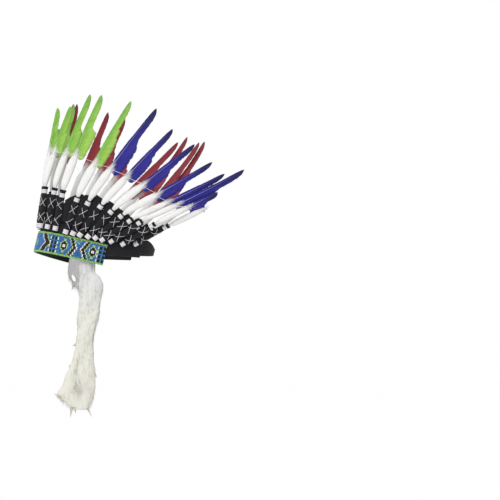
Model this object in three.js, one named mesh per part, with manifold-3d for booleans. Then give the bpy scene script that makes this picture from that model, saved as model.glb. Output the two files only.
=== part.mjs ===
// Feathered headdress on a felt headband, in millimetres, +Z up.
// The wearer faces -Y, and the wearer's left is +X. The origin is the middle of the head opening.
import * as THREE from 'three';
import Module from 'manifold-3d';

const wasm = await Module();
wasm.setup();

const RAD = Math.PI / 180;

// Head opening
const HEAD_HALF_WIDTH = 72;
const HEAD_HALF_LENGTH = 98;
const CROWN_TILT = 13.6;

// Clearance between pieces that lie against each other
const GAP = 0.4;

// Beaded strip
const STRIP_HEIGHT = 35.5;
const STRIP_WALL = 2.4;
const STRIP_END = 94.6;
const STRIP_STEPS = 32;

// Headband
const BAND_WALL = 3;
const BAND_ABOVE_STRIP = 14;
const BAND_REAR_HEIGHT = 34;
const BAND_END = 133;
const BAND_STEPS = 44;
const REAR_RISE = 0.2;
const REAR_RISE_START = -0.92 * HEAD_HALF_LENGTH;
const REAR_RISE_EASE = 12;

// Rear closing strap inside the two ends of the headband
const STRAP_HEIGHT = 24.5;
const STRAP_WALL = 2.6;
const STRAP_OVERLAP = 18;
const STRAP_UP = 7;
const STRAP_STEPS = 24;
const STRAP_REAR_HEIGHT = 15;
const STRAP_REAR_UP = 4.5;
const STRAP_TAPER = 44;

// Rolled felt sleeves
const SLEEVE_LENGTH = 68;
const SLEEVE_WIDTH = 10.8;
const SLEEVE_THICK = 6.6;
const WRAP_LENGTH = 8;
const WRAP_RAISE = 0.6;
const LOWER_WRAP = 5.2;
const UPPER_WRAP = 61.5;
const FACE_TURN = 48;
const FACE_TURN_RATE = 0.6;
const WEB_TRAIL = 4.4;
const WEB_THICK = 1.8;
const WEB_START = 19;
const WEB_SINK = 0.7;

// Feathers
const FEATHER_LENGTH = 180;
const FLUFF_LENGTH = 63;
const FLUFF_HALF_WIDTH = 7;
const FLUFF_HALF_THICK = 4.2;
const LEAVE_LENGTH = 12;
const VANE_TRAIL = 13.5;
const VANE_LEAD = 4.2;
const VANE_HALF_THICK = 1.1;

// Fur drops
const DROP_LENGTH = 258;
const DROP_HALF_WIDTH = 14.5;
const DROP_HALF_THICK = 6.5;
const DROP_TUCK = 14;
const DROP_STAND = 1.1;
const DROP_AROUND = 78;

// Where each feather stands round the band in degrees from the front, its lean back from
// upright and its flare out in degrees, how far the feather leaves the line of its sleeve and
// how far it bends in degrees, its length as a share of FEATHER_LENGTH, its height above the
// strip in mm, and the width of its sleeve as a share of SLEEVE_WIDTH. Then in mm the reach of
// the felt web beside its sleeve at its foot and at its top, how far up the sleeve it goes, how
// much lower its outer corner is, and how far the felt of the sleeve goes past SLEEVE_LENGTH.
// Then the fullness of the feather and its colour.
const COLUMNS = [
  'around', 'lean', 'flare', 'leave', 'bend', 'length', 'up', 'roll',
  'foot', 'web', 'top', 'slant', 'rim', 'full', 'colour',
];
const LEFT_ROWS = [
  [12, 6, 4, 9.7, 7, 0.778, 9.5, 1, 4.4, 8, 58, 0, 2, 0.9, 'green'],
  [27, 10, 7, 7, 8, 0.923, 9, 1, 5.4, 12, 58, 0, 2, 0.9, 'green'],
  [39, 10.6, 9, 8, 6, 0.938, 8.5, 1, 4.5, 10, 58, 0, 2, 1, 'green'],
  [52, 18, 10, 8, 5, 0.991, 6.1, 1, 12, 18.5, 72, 15, 0, 1, 'green'],
  [60, 25, 11, 8, 5, 1.028, 6, 1, 5.9, 13, 76, 8, 0, 0.95, 'blue'],
  [67, 35, 11.5, 6, 3, 0.938, 6, 1, 6.8, 15, 74.5, 0, 0, 0.95, 'blue'],
  [75, 42, 12, 7.8, 2, 0.94, 6.2, 1, 5.6, 12.5, 74, 2, 0, 0.95, 'blue'],
  [82, 49, 12.5, 12, -3, 0.925, 6.9, 0.92, 5, 11, 70.5, 4, 0, 0.9, 'blue'],
  [88.5, 55, 13, 11.3, -5, 0.919, 6.4, 0.86, 4.4, 9, 60, 0, 0.8, 0.71, 'blue'],
  [97, 56, 14.8, 10.6, -7, 1.029, 7.7, 0.84, 4.4, 5.2, 60, 0, 0.8, 0.68, 'blue'],
  [108.5, 57, 17.3, 6, 0, 0.639, 8.3, 0.82, 4.4, 5.2, 60, 0, 0.8, 0.74, 'blue'],
  [122, 60, 20, 4, 0, 0.345, 14.5, 0.82, 4.4, 5.2, 60, 0, 0.8, 0.76, 'blue'],
];
const RIGHT_ROWS = [
  [17, 7, 5, 6, 8, 0.608, 9.5, 1, 4.4, 8, 58, 0, 2, 0.9, 'green'],
  [32, 10, 7, 1.2, 8, 0.898, 9, 1, 5.4, 12, 58, 0, 2, 0.9, 'green'],
  [44, 11, 9, -1, 4, 0.923, 8.5, 1, 4.5, 10, 58, 0, 2, 0.6, 'red'],
  [56, 18, 10, 4, 2, 0.976, 6.1, 1, 11, 17.5, 72, 13, 0, 1, 'red'],
  [64.5, 26, 11, 0, 0, 0.993, 6, 1, 5.9, 13, 75, 7, 0, 0.75, 'red'],
  [72, 34, 11.5, -1, -2, 0.758, 6, 1, 6.3, 14, 74, 0, 0, 0.95, 'red'],
  [79.5, 42, 12, 3.6, -1, 1.07, 6.2, 1, 5.4, 12, 74, 3, 0, 0.94, 'red'],
  [86.5, 46, 12.5, 2, -6, 0.725, 6.9, 0.92, 4.5, 10, 70, 4, 0, 0.7, 'red'],
  [93, 48, 13, -4.2, -10, 1.139, 6.4, 0.86, 4.4, 7, 60, 0, 0.8, 0.7, 'red'],
  [101.5, 49, 14, -2.4, -11, 1.149, 7.4, 0.84, 4.4, 5.2, 60, 0, 0.8, 0.72, 'red'],
  [112, 50, 15.5, -6, -12, 1.179, 8.8, 0.82, 4.4, 5.2, 60, 0, 0.8, 0.85, 'red'],
  [125, 54, 17, 0, -6, 0.419, 12.8, 0.82, 4.4, 5.2, 60, 0, 0.8, 0.9, 'red'],
];
const CENTRE_ROW = [0, 8.5, 0, 0, 3, 0.746, 10, 1, 4.4, 6, 58, 0, 2, 0.8, 'green'];

// Sections of a sleeve from its root up: place along it in mm, half width and half thickness as
// shares of half of SLEEVE_WIDTH and SLEEVE_THICK, and how far a thread wrap raises it in mm.
const SLEEVE_SECTIONS = [
  { at: 0, wide: 0.5, thick: 0.8, raise: 0 },
  { at: LOWER_WRAP - WRAP_LENGTH / 2, wide: 0.72, thick: 1, raise: 0 },
  { at: LOWER_WRAP - WRAP_LENGTH / 2, wide: 0.72, thick: 1, raise: WRAP_RAISE },
  { at: LOWER_WRAP + WRAP_LENGTH / 2, wide: 0.78, thick: 1, raise: WRAP_RAISE },
  { at: LOWER_WRAP + WRAP_LENGTH / 2, wide: 0.84, thick: 1, raise: 0 },
  { at: UPPER_WRAP - WRAP_LENGTH / 2, wide: 0.9, thick: 1, raise: 0 },
  { at: UPPER_WRAP - WRAP_LENGTH / 2, wide: 0.78, thick: 1, raise: WRAP_RAISE },
  { at: UPPER_WRAP + WRAP_LENGTH / 2, wide: 0.78, thick: 1, raise: WRAP_RAISE },
  { at: UPPER_WRAP + WRAP_LENGTH / 2, wide: 0.84, thick: 1, raise: 0 },
  { at: SLEEVE_LENGTH, wide: 0.84, thick: 1, raise: 0 },
];

// Sections of a feather: where each lies as a share of its part, the reach of its leading and
// trailing side and its half thickness, as shares of the named sizes of that part.
const FLUFF_SECTIONS = [
  { at: 0, lead: 0.5, trail: 0.5, thick: 0.55 },
  { at: 0.1, lead: 0.78, trail: 0.78, thick: 0.8 },
  { at: 0.4, lead: 0.98, trail: 0.98, thick: 1 },
  { at: 0.72, lead: 1, trail: 1, thick: 0.9 },
  { at: 0.93, lead: 0.72, trail: 0.9, thick: 0.5 },
];
const VANE_SECTIONS = [
  { at: 0.05, lead: 0.9, trail: 0.86, thick: 1 },
  { at: 0.22, lead: 1, trail: 1, thick: 1 },
  { at: 0.4, lead: 1, trail: 0.84, thick: 0.95 },
  { at: 0.45, lead: 1, trail: 0.62, thick: 0.9 },
  { at: 0.76, lead: 0.85, trail: 0.5, thick: 0.8 },
  { at: 0.93, lead: 0.6, trail: 0.3, thick: 0.65 },
  { at: 1, lead: 0.1, trail: 0.04, thick: 0.3 },
];

// Sections of a fur drop from top to bottom: height as a share of DROP_LENGTH, middle and half
// width as shares of DROP_HALF_WIDTH, half thickness as a share of DROP_HALF_THICK.
const LEFT_DROP_SECTIONS = [
  { at: 0, middle: 0.15, wide: 0.86, thick: 0.4 },
  { at: 0.07, middle: 0.12, wide: 0.92, thick: 0.5 },
  { at: 0.12, middle: 0.12, wide: 0.93, thick: 0.85 },
  { at: 0.145, middle: 0.38, wide: 1.19, thick: 0.95 },
  { at: 0.18, middle: 0.54, wide: 1.36, thick: 1 },
  { at: 0.22, middle: 0.6, wide: 1.4, thick: 1 },
  { at: 0.3, middle: 0.51, wide: 1.2, thick: 1 },
  { at: 0.38, middle: 0.37, wide: 1.27, thick: 1 },
  { at: 0.52, middle: 0, wide: 0.98, thick: 1 },
  { at: 0.66, middle: -0.2, wide: 1.12, thick: 1.05 },
  { at: 0.78, middle: -0.18, wide: 1.28, thick: 1.15 },
  { at: 0.9, middle: -0.24, wide: 1.25, thick: 1.15 },
  { at: 0.965, middle: -0.47, wide: 1.08, thick: 0.95 },
  { at: 1, middle: -0.58, wide: 0.74, thick: 0.5 },
];
const LEFT_FRONT_LOBE = [
  { at: 0.61, middle: -0.8, wide: 0.45, thick: 0.6 },
  { at: 0.7, middle: -1.03, wide: 0.62, thick: 0.9 },
  { at: 0.78, middle: -1.48, wide: 0.83, thick: 1.05 },
  { at: 0.85, middle: -1.76, wide: 1, thick: 1.1 },
  { at: 0.9, middle: -2.08, wide: 1.16, thick: 1 },
  { at: 0.93, middle: -1.82, wide: 1, thick: 0.9 },
  { at: 0.96, middle: -1.5, wide: 0.75, thick: 0.75 },
  { at: 0.985, middle: -1.2, wide: 0.45, thick: 0.5 },
];
const RIGHT_DROP_SECTIONS = [
  { at: 0, middle: 0, wide: 0.8, thick: 0.4 },
  { at: 0.06, middle: -0.06, wide: 1, thick: 0.7 },
  { at: 0.13, middle: 0, wide: 1.04, thick: 0.9 },
  { at: 0.172, middle: 0.2, wide: 0.86, thick: 1 },
  { at: 0.2, middle: 0.5, wide: 0.78, thick: 1 },
  { at: 0.228, middle: 0.95, wide: 0.74, thick: 1 },
  { at: 0.27, middle: 1.3, wide: 0.84, thick: 1 },
  { at: 0.38, middle: 1.4, wide: 0.9, thick: 1 },
  { at: 0.52, middle: 1.15, wide: 0.82, thick: 1 },
  { at: 0.68, middle: 0.85, wide: 0.95, thick: 1.05 },
  { at: 0.8, middle: 0.5, wide: 1.15, thick: 1.1 },
  { at: 0.9, middle: 0.35, wide: 1.15, thick: 1.05 },
  { at: 0.96, middle: 0.15, wide: 0.75, thick: 0.5 },
];

// Point on the oval of the head opening, with its outward direction
function ovalPoint(around, offset) {
  const s = Math.sin(around * RAD);
  const c = Math.cos(around * RAD);
  const normal = new THREE.Vector3(HEAD_HALF_LENGTH * s, -HEAD_HALF_WIDTH * c, 0).normalize();
  const point = new THREE.Vector3(HEAD_HALF_WIDTH * s, -HEAD_HALF_LENGTH * c, 0);
  return { point: point.addScaledVector(normal, offset), normal };
}

// Rise of the rear of the headband above the plane of the beaded strip
function rearRise(around) {
  const past = -HEAD_HALF_LENGTH * Math.cos(around * RAD) - REAR_RISE_START;
  return past > 0 ? (REAR_RISE * past * past) / (past + REAR_RISE_EASE) : 0;
}

function bandHeight(around) {
  const share = THREE.MathUtils.smoothstep(Math.abs(around), 60, 105);
  return THREE.MathUtils.lerp(STRIP_HEIGHT + BAND_ABOVE_STRIP, BAND_REAR_HEIGHT, share);
}

// A solid whose rings ran the other way round is turned to face out
function facingOut(solid) {
  if (solid.volume() > 0) {
    return solid;
  }
  const data = solid.getMesh();
  const turned = new Uint32Array(data.triVerts.length);
  for (let i = 0; i < turned.length; i += 3) {
    turned[i] = data.triVerts[i];
    turned[i + 1] = data.triVerts[i + 2];
    turned[i + 2] = data.triVerts[i + 1];
  }
  return new wasm.Manifold(new wasm.Mesh({
    numProp: data.numProp,
    vertProperties: data.vertProperties,
    triVerts: turned,
  }));
}

// Closed solid through a list of rings that have the same number of points
function loft(rings) {
  const n = rings[0].length;
  const positions = [];
  const triangles = [];
  for (const ring of rings) {
    for (const p of ring) {
      positions.push(p.x, p.y, p.z);
    }
  }
  for (let i = 0; i < rings.length - 1; i += 1) {
    for (let j = 0; j < n; j += 1) {
      const a = i * n + j;
      const b = i * n + ((j + 1) % n);
      triangles.push(a, b, b + n, a, b + n, a + n);
    }
  }
  const last = (rings.length - 1) * n;
  for (let j = 1; j < n - 1; j += 1) {
    triangles.push(0, j + 1, j, last, last + j, last + j + 1);
  }
  return facingOut(new wasm.Manifold(new wasm.Mesh({
    numProp: 3,
    vertProperties: new Float32Array(positions),
    triVerts: new Uint32Array(triangles),
  })));
}

// Wall along the oval between two places, from its bottom to its top
function ovalWall(start, end, steps, offset, wall, bottom, height) {
  const rings = [];
  for (let i = 0; i <= steps; i += 1) {
    const around = start + ((end - start) * i) / steps;
    const low = bottom(around);
    const high = low + height(around);
    const inner = ovalPoint(around, offset - wall / 2).point;
    const outer = ovalPoint(around, offset + wall / 2).point;
    rings.push([
      new THREE.Vector3(outer.x, outer.y, low),
      new THREE.Vector3(outer.x, outer.y, high),
      new THREE.Vector3(inner.x, inner.y, high),
      new THREE.Vector3(inner.x, inner.y, low),
    ]);
  }
  return loft(rings);
}

// Ring of eight points with a leading and a trailing reach and a half thickness
const SHOULDER_OUT = 0.68;
const SHOULDER_UP = 0.72;
function lensRing(centre, wide, face, lead, trail, thick) {
  const at = (w, f) => centre.clone().addScaledVector(wide, w).addScaledVector(face, f);
  return [
    at(-lead, 0),
    at(-lead * SHOULDER_OUT, -thick * SHOULDER_UP),
    at(0, -thick),
    at(trail * SHOULDER_OUT, -thick * SHOULDER_UP),
    at(trail, 0),
    at(trail * SHOULDER_OUT, thick * SHOULDER_UP),
    at(0, thick),
    at(-lead * SHOULDER_OUT, thick * SHOULDER_UP),
  ];
}

function meshFrom(solid, name, material) {
  const data = solid.getMesh();
  const geometry = new THREE.BufferGeometry();
  const positions = new Float32Array((data.vertProperties.length / data.numProp) * 3);
  for (let i = 0; i < positions.length / 3; i += 1) {
    for (let k = 0; k < 3; k += 1) {
      positions[i * 3 + k] = data.vertProperties[i * data.numProp + k];
    }
  }
  geometry.setAttribute('position', new THREE.BufferAttribute(positions, 3));
  geometry.setIndex(new THREE.BufferAttribute(new Uint32Array(data.triVerts), 1));
  geometry.computeVertexNormals();
  const mesh = new THREE.Mesh(geometry, material);
  mesh.name = name;
  return mesh;
}

function colourOf(hex, roughness = 0.9) {
  return new THREE.MeshStandardMaterial({ color: hex, roughness, metalness: 0 });
}

const COLOURS = { green: 0x8cc850, blue: 0x3732a0, red: 0xa02d37 };
const group = new THREE.Group();
group.name = 'headdress';
const crown = new THREE.Group();
crown.name = 'crown';
crown.rotation.x = -CROWN_TILT * RAD;
group.add(crown);

// Headband, beaded strip and rear strap
const stripBottom = -STRIP_HEIGHT / 2;
const bandBottom = (around) => stripBottom + rearRise(around);
const headband = ovalWall(-BAND_END, BAND_END, BAND_STEPS, 0, BAND_WALL, bandBottom, bandHeight);
crown.add(meshFrom(headband, 'headband', colourOf(0x24252a)));

const strip = ovalWall(
  -STRIP_END,
  STRIP_END,
  STRIP_STEPS,
  BAND_WALL / 2 + GAP + STRIP_WALL / 2,
  STRIP_WALL,
  () => stripBottom,
  () => STRIP_HEIGHT,
);
crown.add(meshFrom(strip, 'beaded_strip', colourOf(0x417dbe, 0.4)));

// The rear strap narrows towards the middle of the rear
const strapTaper = (around) => 1 - THREE.MathUtils.smoothstep(Math.abs(around - 180), 0, STRAP_TAPER);
const strapBottom = (around) => {
  const up = THREE.MathUtils.lerp(STRAP_UP, STRAP_REAR_UP, strapTaper(around));
  return bandBottom(around) + up;
};
const strapHeight = (around) => {
  return THREE.MathUtils.lerp(STRAP_HEIGHT, STRAP_REAR_HEIGHT, strapTaper(around));
};
const strap = ovalWall(
  BAND_END - STRAP_OVERLAP,
  360 - BAND_END + STRAP_OVERLAP,
  STRAP_STEPS,
  -BAND_WALL / 2 - GAP - STRAP_WALL / 2,
  STRAP_WALL,
  strapBottom,
  strapHeight,
);
crown.add(meshFrom(strap, 'back_strap', colourOf(0x202126)));

// Axes of a sleeve: along, out of its face and across towards the trailing side
function sleeveAxes(row, side) {
  const tilted = (row.lean - CROWN_TILT) * RAD;
  const flare = row.flare * RAD;
  const along = new THREE.Vector3(
    side * Math.sin(flare),
    Math.cos(flare) * Math.sin(tilted),
    Math.cos(flare) * Math.cos(tilted),
  );
  const turn = (FACE_TURN + FACE_TURN_RATE * row.around) * RAD;
  const face = new THREE.Vector3(side * Math.sin(turn), -Math.cos(turn), 0);
  face.addScaledVector(along, -face.dot(along)).normalize();
  const wide = new THREE.Vector3().crossVectors(along, face).multiplyScalar(side);
  return { along, face, wide };
}

function sleeveHalves(section, row) {
  return {
    wide: (section.wide * row.roll * SLEEVE_WIDTH) / 2 + section.raise,
    thick: (section.thick * SLEEVE_THICK) / 2 + section.raise,
  };
}

// How far the lower end of a sleeve reaches from the middle of its lower wrap towards the band
function reachInward(axes, normal, row) {
  const across = Math.abs(axes.wide.dot(normal));
  const through = Math.abs(axes.face.dot(normal));
  const lower = SLEEVE_SECTIONS.filter((section) => section.at <= 2 * LOWER_WRAP);
  const reaches = lower.map((section) => {
    const { wide, thick } = sleeveHalves(section, row);
    const shoulder = wide * SHOULDER_OUT * across + thick * SHOULDER_UP * through;
    const ring = Math.max(wide * across, thick * through, shoulder);
    return ring - (section.at - LOWER_WRAP) * axes.along.dot(normal);
  });
  return Math.max(...reaches);
}

// Middle of the root of a sleeve that leans on the headband behind it
function sleeveRoot(row, side, axes) {
  const start = ovalPoint(side * row.around, 0);
  const stand = BAND_WALL / 2 + GAP + reachInward(axes, start.normal, row);
  const root = start.point.clone().addScaledVector(start.normal, stand);
  root.z = STRIP_HEIGHT / 2 + row.up;
  return root.addScaledVector(axes.along, -LOWER_WRAP);
}

// Rolled felt with both thread wraps, and the flat web of felt beside it
function sleeveSolid(root, axes, row) {
  const rings = SLEEVE_SECTIONS.map((section) => {
    const { wide, thick } = sleeveHalves(section, row);
    const at = section.at === SLEEVE_LENGTH ? SLEEVE_LENGTH + row.rim : section.at;
    const centre = root.clone().addScaledVector(axes.along, at);
    return lensRing(centre, axes.wide, axes.face, wide, wide, thick);
  });
  const inner = -SLEEVE_THICK / 2 + WEB_SINK;
  const ends = [
    { outer: WEB_START, near: WEB_START, lead: row.foot },
    { outer: row.top - row.slant, near: row.top, lead: row.web },
  ];
  const panel = ends.map(({ outer, near, lead }) => {
    const corner = (at, wide, deep) => root.clone()
      .addScaledVector(axes.along, at)
      .addScaledVector(axes.wide, wide)
      .addScaledVector(axes.face, deep);
    return [
      corner(outer, -lead, inner - WEB_THICK),
      corner(near, WEB_TRAIL, inner - WEB_THICK),
      corner(near, WEB_TRAIL, inner),
      corner(outer, -lead, inner),
    ];
  });
  return loft(rings).add(loft(panel));
}

// Angle between a feather and the line of its sleeve, some way up the feather
function angleAt(row, at, length) {
  const left = Math.min(1, at / LEAVE_LENGTH);
  return (row.leave * left + row.bend * (at / length)) * RAD;
}

function featherSolid(root, axes, row) {
  const length = row.length * FEATHER_LENGTH;
  const vane = length - FLUFF_LENGTH;
  const sections = FLUFF_SECTIONS.map((s) => ({
    at: s.at * FLUFF_LENGTH,
    lead: s.lead * FLUFF_HALF_WIDTH * row.full,
    trail: s.trail * FLUFF_HALF_WIDTH * row.full,
    thick: s.thick * FLUFF_HALF_THICK,
  }));
  const broad = Math.min(1, 0.4 + vane / FLUFF_LENGTH) * row.full;
  for (const s of VANE_SECTIONS) {
    sections.push({
      at: FLUFF_LENGTH + s.at * vane,
      lead: s.lead * VANE_LEAD,
      trail: s.trail * VANE_TRAIL * broad,
      thick: s.thick * VANE_HALF_THICK,
    });
  }
  const clear = -SLEEVE_THICK / 2 + WEB_SINK + GAP;
  const place = root.clone().addScaledVector(axes.along, SLEEVE_LENGTH + row.rim + GAP);
  let before = 0;
  const rings = sections.map((s) => {
    const step = s.at - before;
    const middle = angleAt(row, before + step / 2, length);
    before = s.at;
    place.addScaledVector(axes.along, step * Math.cos(middle));
    place.addScaledVector(axes.wide, step * Math.sin(middle));
    const bend = angleAt(row, s.at, length);
    const wide = axes.wide.clone().multiplyScalar(Math.cos(bend));
    wide.addScaledVector(axes.along, -Math.sin(bend));
    const centre = place.clone().addScaledVector(axes.face, clear + FLUFF_HALF_THICK);
    return lensRing(centre, wide, axes.face, s.lead, s.trail, s.thick);
  });
  return loft(rings);
}

function rowOf(values) {
  return Object.fromEntries(COLUMNS.map((column, i) => [column, values[i]]));
}

const felt = colourOf(0x26272c);
const rows = [
  ...LEFT_ROWS.map((values) => ({ row: rowOf(values), side: 1 })),
  { row: rowOf(CENTRE_ROW), side: 1 },
  ...RIGHT_ROWS.map((values) => ({ row: rowOf(values), side: -1 })),
];
const leftCount = LEFT_ROWS.length;
rows.forEach(({ row, side }, index) => {
  const axes = sleeveAxes(row, side);
  const root = sleeveRoot(row, side, axes);
  let place = 'left_' + String(index + 1).padStart(2, '0');
  if (index === leftCount) {
    place = 'front';
  }
  if (index > leftCount) {
    place = 'right_' + String(index - leftCount).padStart(2, '0');
  }
  crown.add(meshFrom(sleeveSolid(root, axes, row), 'sleeve_' + place, felt.clone()));
  const feather = featherSolid(root, axes, row);
  crown.add(meshFrom(feather, 'feather_' + place, colourOf(COLOURS[row.colour], 0.7)));
});

// Fur drops hang straight down from inside the band
function dropLock(sections, side) {
  const start = ovalPoint(side * DROP_AROUND, -BAND_WALL / 2 - DROP_STAND - DROP_HALF_THICK);
  const tilt = CROWN_TILT * RAD;
  const bandMiddle = new THREE.Vector3(start.point.x, start.point.y, stripBottom);
  bandMiddle.applyAxisAngle(new THREE.Vector3(1, 0, 0), -tilt);
  const face = start.normal;
  const wide = new THREE.Vector3(-face.y, face.x, 0).multiplyScalar(side);
  const rings = sections.map((s) => {
    const centre = new THREE.Vector3(start.point.x, bandMiddle.y, 0);
    centre.z = bandMiddle.z + DROP_TUCK - s.at * DROP_LENGTH;
    centre.addScaledVector(wide, s.middle * DROP_HALF_WIDTH);
    centre.addScaledVector(face, (1 - s.thick) * DROP_HALF_THICK);
    const half = s.wide * DROP_HALF_WIDTH;
    return lensRing(centre, wide, face, half, half, s.thick * DROP_HALF_THICK);
  });
  return loft(rings);
}

const fur = colourOf(0xe6e4d8, 0.95);
const leftDrop = dropLock(LEFT_DROP_SECTIONS, 1).add(dropLock(LEFT_FRONT_LOBE, 1));
group.add(meshFrom(leftDrop, 'fur_drop_left', fur));
group.add(meshFrom(dropLock(RIGHT_DROP_SECTIONS, -1), 'fur_drop_right', fur.clone()));

export default group;
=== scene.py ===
"""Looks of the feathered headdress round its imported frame. Lengths are in mm until a mesh is made."""

import math

import bmesh
import bpy
import numpy as np
from mathutils import Matrix, Vector


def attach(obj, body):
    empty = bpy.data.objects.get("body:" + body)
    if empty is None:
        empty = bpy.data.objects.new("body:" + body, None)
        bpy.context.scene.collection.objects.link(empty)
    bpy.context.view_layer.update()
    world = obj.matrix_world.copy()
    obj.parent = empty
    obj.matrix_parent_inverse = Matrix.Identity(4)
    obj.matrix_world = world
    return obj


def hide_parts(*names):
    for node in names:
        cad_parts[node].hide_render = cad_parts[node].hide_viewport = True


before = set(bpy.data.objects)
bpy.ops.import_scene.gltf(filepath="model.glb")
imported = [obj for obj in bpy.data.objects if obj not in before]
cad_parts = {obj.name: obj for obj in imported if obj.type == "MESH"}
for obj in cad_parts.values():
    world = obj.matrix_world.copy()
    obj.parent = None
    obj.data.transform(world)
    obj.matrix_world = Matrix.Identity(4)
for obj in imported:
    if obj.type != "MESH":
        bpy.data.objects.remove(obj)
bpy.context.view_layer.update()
MM = 0.001

# Head opening, felt band, beaded strip and rear strap
# The crown is built upright and then tilted back with TILT
HEAD_HALF_WIDTH = 72
HEAD_HALF_LENGTH = 98
CROWN_TILT = 13.6
GAP = 0.4
STRIP_HEIGHT = 35.5
STRIP_BOTTOM = -STRIP_HEIGHT / 2
STRIP_WALL = 2.4
STRIP_END = 94.6
BACKING_WALL = 0.9
BACKING_INSET = 0.4
BAND_WALL = 3
BAND_ABOVE_STRIP = 14
BAND_REAR_HEIGHT = 34
BAND_END = 133
REAR_RISE = 0.2
REAR_RISE_START = -0.92 * HEAD_HALF_LENGTH
REAR_RISE_EASE = 12
STRAP_HEIGHT = 24.5
STRAP_WALL = 2.6
STRAP_OVERLAP = 18
STRAP_UP = 7
STRAP_REAR_HEIGHT = 15
STRAP_REAR_UP = 4.5
STRAP_TAPER = 44
# Wear at the rear of the strap: how far its lower edge is pulled up and its top edge pressed down
# on both sides of the rear, in mm, and how far from the rear and how wide that is, in degrees
STRAP_REAR_LIFT = 1.4
STRAP_WORN = 3.2
STRAP_WORN_AT = 17
STRAP_WORN_SPREAD = 14

# Sleeves, thread and felt webs
SLEEVE_LENGTH = 68
SLEEVE_WIDTH = 10.8
SLEEVE_THICK = 6.6
# The face of a sleeve looks this far round from the front, and more with its own place round
FACE_TURN = 48
FACE_TURN_RATE = 0.6
RIM_FLARE = 0.8
# Seat of the wraps, by which a sleeve stands off the band
WRAP_LENGTH = 8
WRAP_RAISE = 0.6
LOWER_WRAP = 5.2
UPPER_WRAP = 61.5
# Wraps as wound: number of turns, width as a share of the roll's, lengths and grooves between their
# bundles of turns, and how much painted shade darkens those grooves
WRAP_TURNS = 8
WRAP_WIDE = 0.73
LOWER_WRAP_LENGTH = 7.4
UPPER_WRAP_LENGTH = 6.4
WRAP_GROOVES = (0.34, 0.66)
WRAP_GROOVE_WIDE = 0.05
WRAP_GROOVE_SHADE = 0.25
LOWER_WRAP_DROP = 0.9
# For each row how much lower its upper wrap sits and how much lower its roll ends, in mm
WRAP_DROPS = (-0.5, -0.5, 1.2, 1.4, 2.2, 0, 2.2, 2.6, 3.0, 2.6, 1.2, 1.2)
ROLL_DROPS = (0, 0, 0.6, 1.4, 2.6, 0.4, 2.4, 2.8, 3.0, 2.6, 0.9, 0.9)
WEB_TRAIL = 4.4
WEB_THICK = 1.8
WEB_START = 19
WEB_SINK = 0.7
# How much farther up and out the felt web of a row goes than the tables below say, in mm
WEB_MORE = {
    5: (0, 1.6),
    6: (0, 1.8),
    7: (0, 2.0),
    8: (-1, 2.0),
    9: (4.5, 2.0),
    10: (4, 3),
    11: (-3, 2),
}
# How far the top of the web of a middle row goes past its roll on the trailing side, in mm
WEB_PAST = 3.2
WEB_PAST_ROWS = range(4, 11)
STITCH_HEIGHTS = (0.24, 0.68)
STITCH_REACH = 5.2
STITCH_RISE = 7.6
THREAD_RADIUS = 0.29

# Feathers
FEATHER_LENGTH = 180
FLUFF_LENGTH = 63
FLUFF_HALF_WIDTH = 7
FLUFF_HALF_THICK = 4.2
# A feather turns to the angle at which it leaves its sleeve over this length
LEAVE_LENGTH = 12
VANE_TRAIL = 13.5
VANE_LEAD = 3.4
BARB_SPACING = 0.85
# Blade under the barbs, as a share of their reach
BLADE_SHARE = 0.95
# A roll narrower than this share has a slim feather, whose fluff starts clear of the rim
SLIM_ROLL = 0.9
# Wisps of down on the body of a fluff and round its top
BODY_WISPS = 70
TOP_WISPS = 60
TOP_START = 0.8
SPACING_THREAD_AT = 0.96
SPACING_THREAD_RADIUS = 0.3

# Fur drops
DROP_LENGTH = 258
DROP_HALF_WIDTH = 14.5
DROP_HALF_THICK = 6.5
DROP_TUCK = 14
DROP_STAND = 1.1
DROP_AROUND = 78
DROP_RINGS = 120
DROP_SIDES = 40
DROP_HAIRS = 3200
# Hollow between the lower lobes of the left drop: its middle and its half sizes, as places across
# and along the drop
HOLLOW_W = -0.72
HOLLOW_HALF_W = 0.4
HOLLOW_AT = 0.885
HOLLOW_HALF = 0.055

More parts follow.
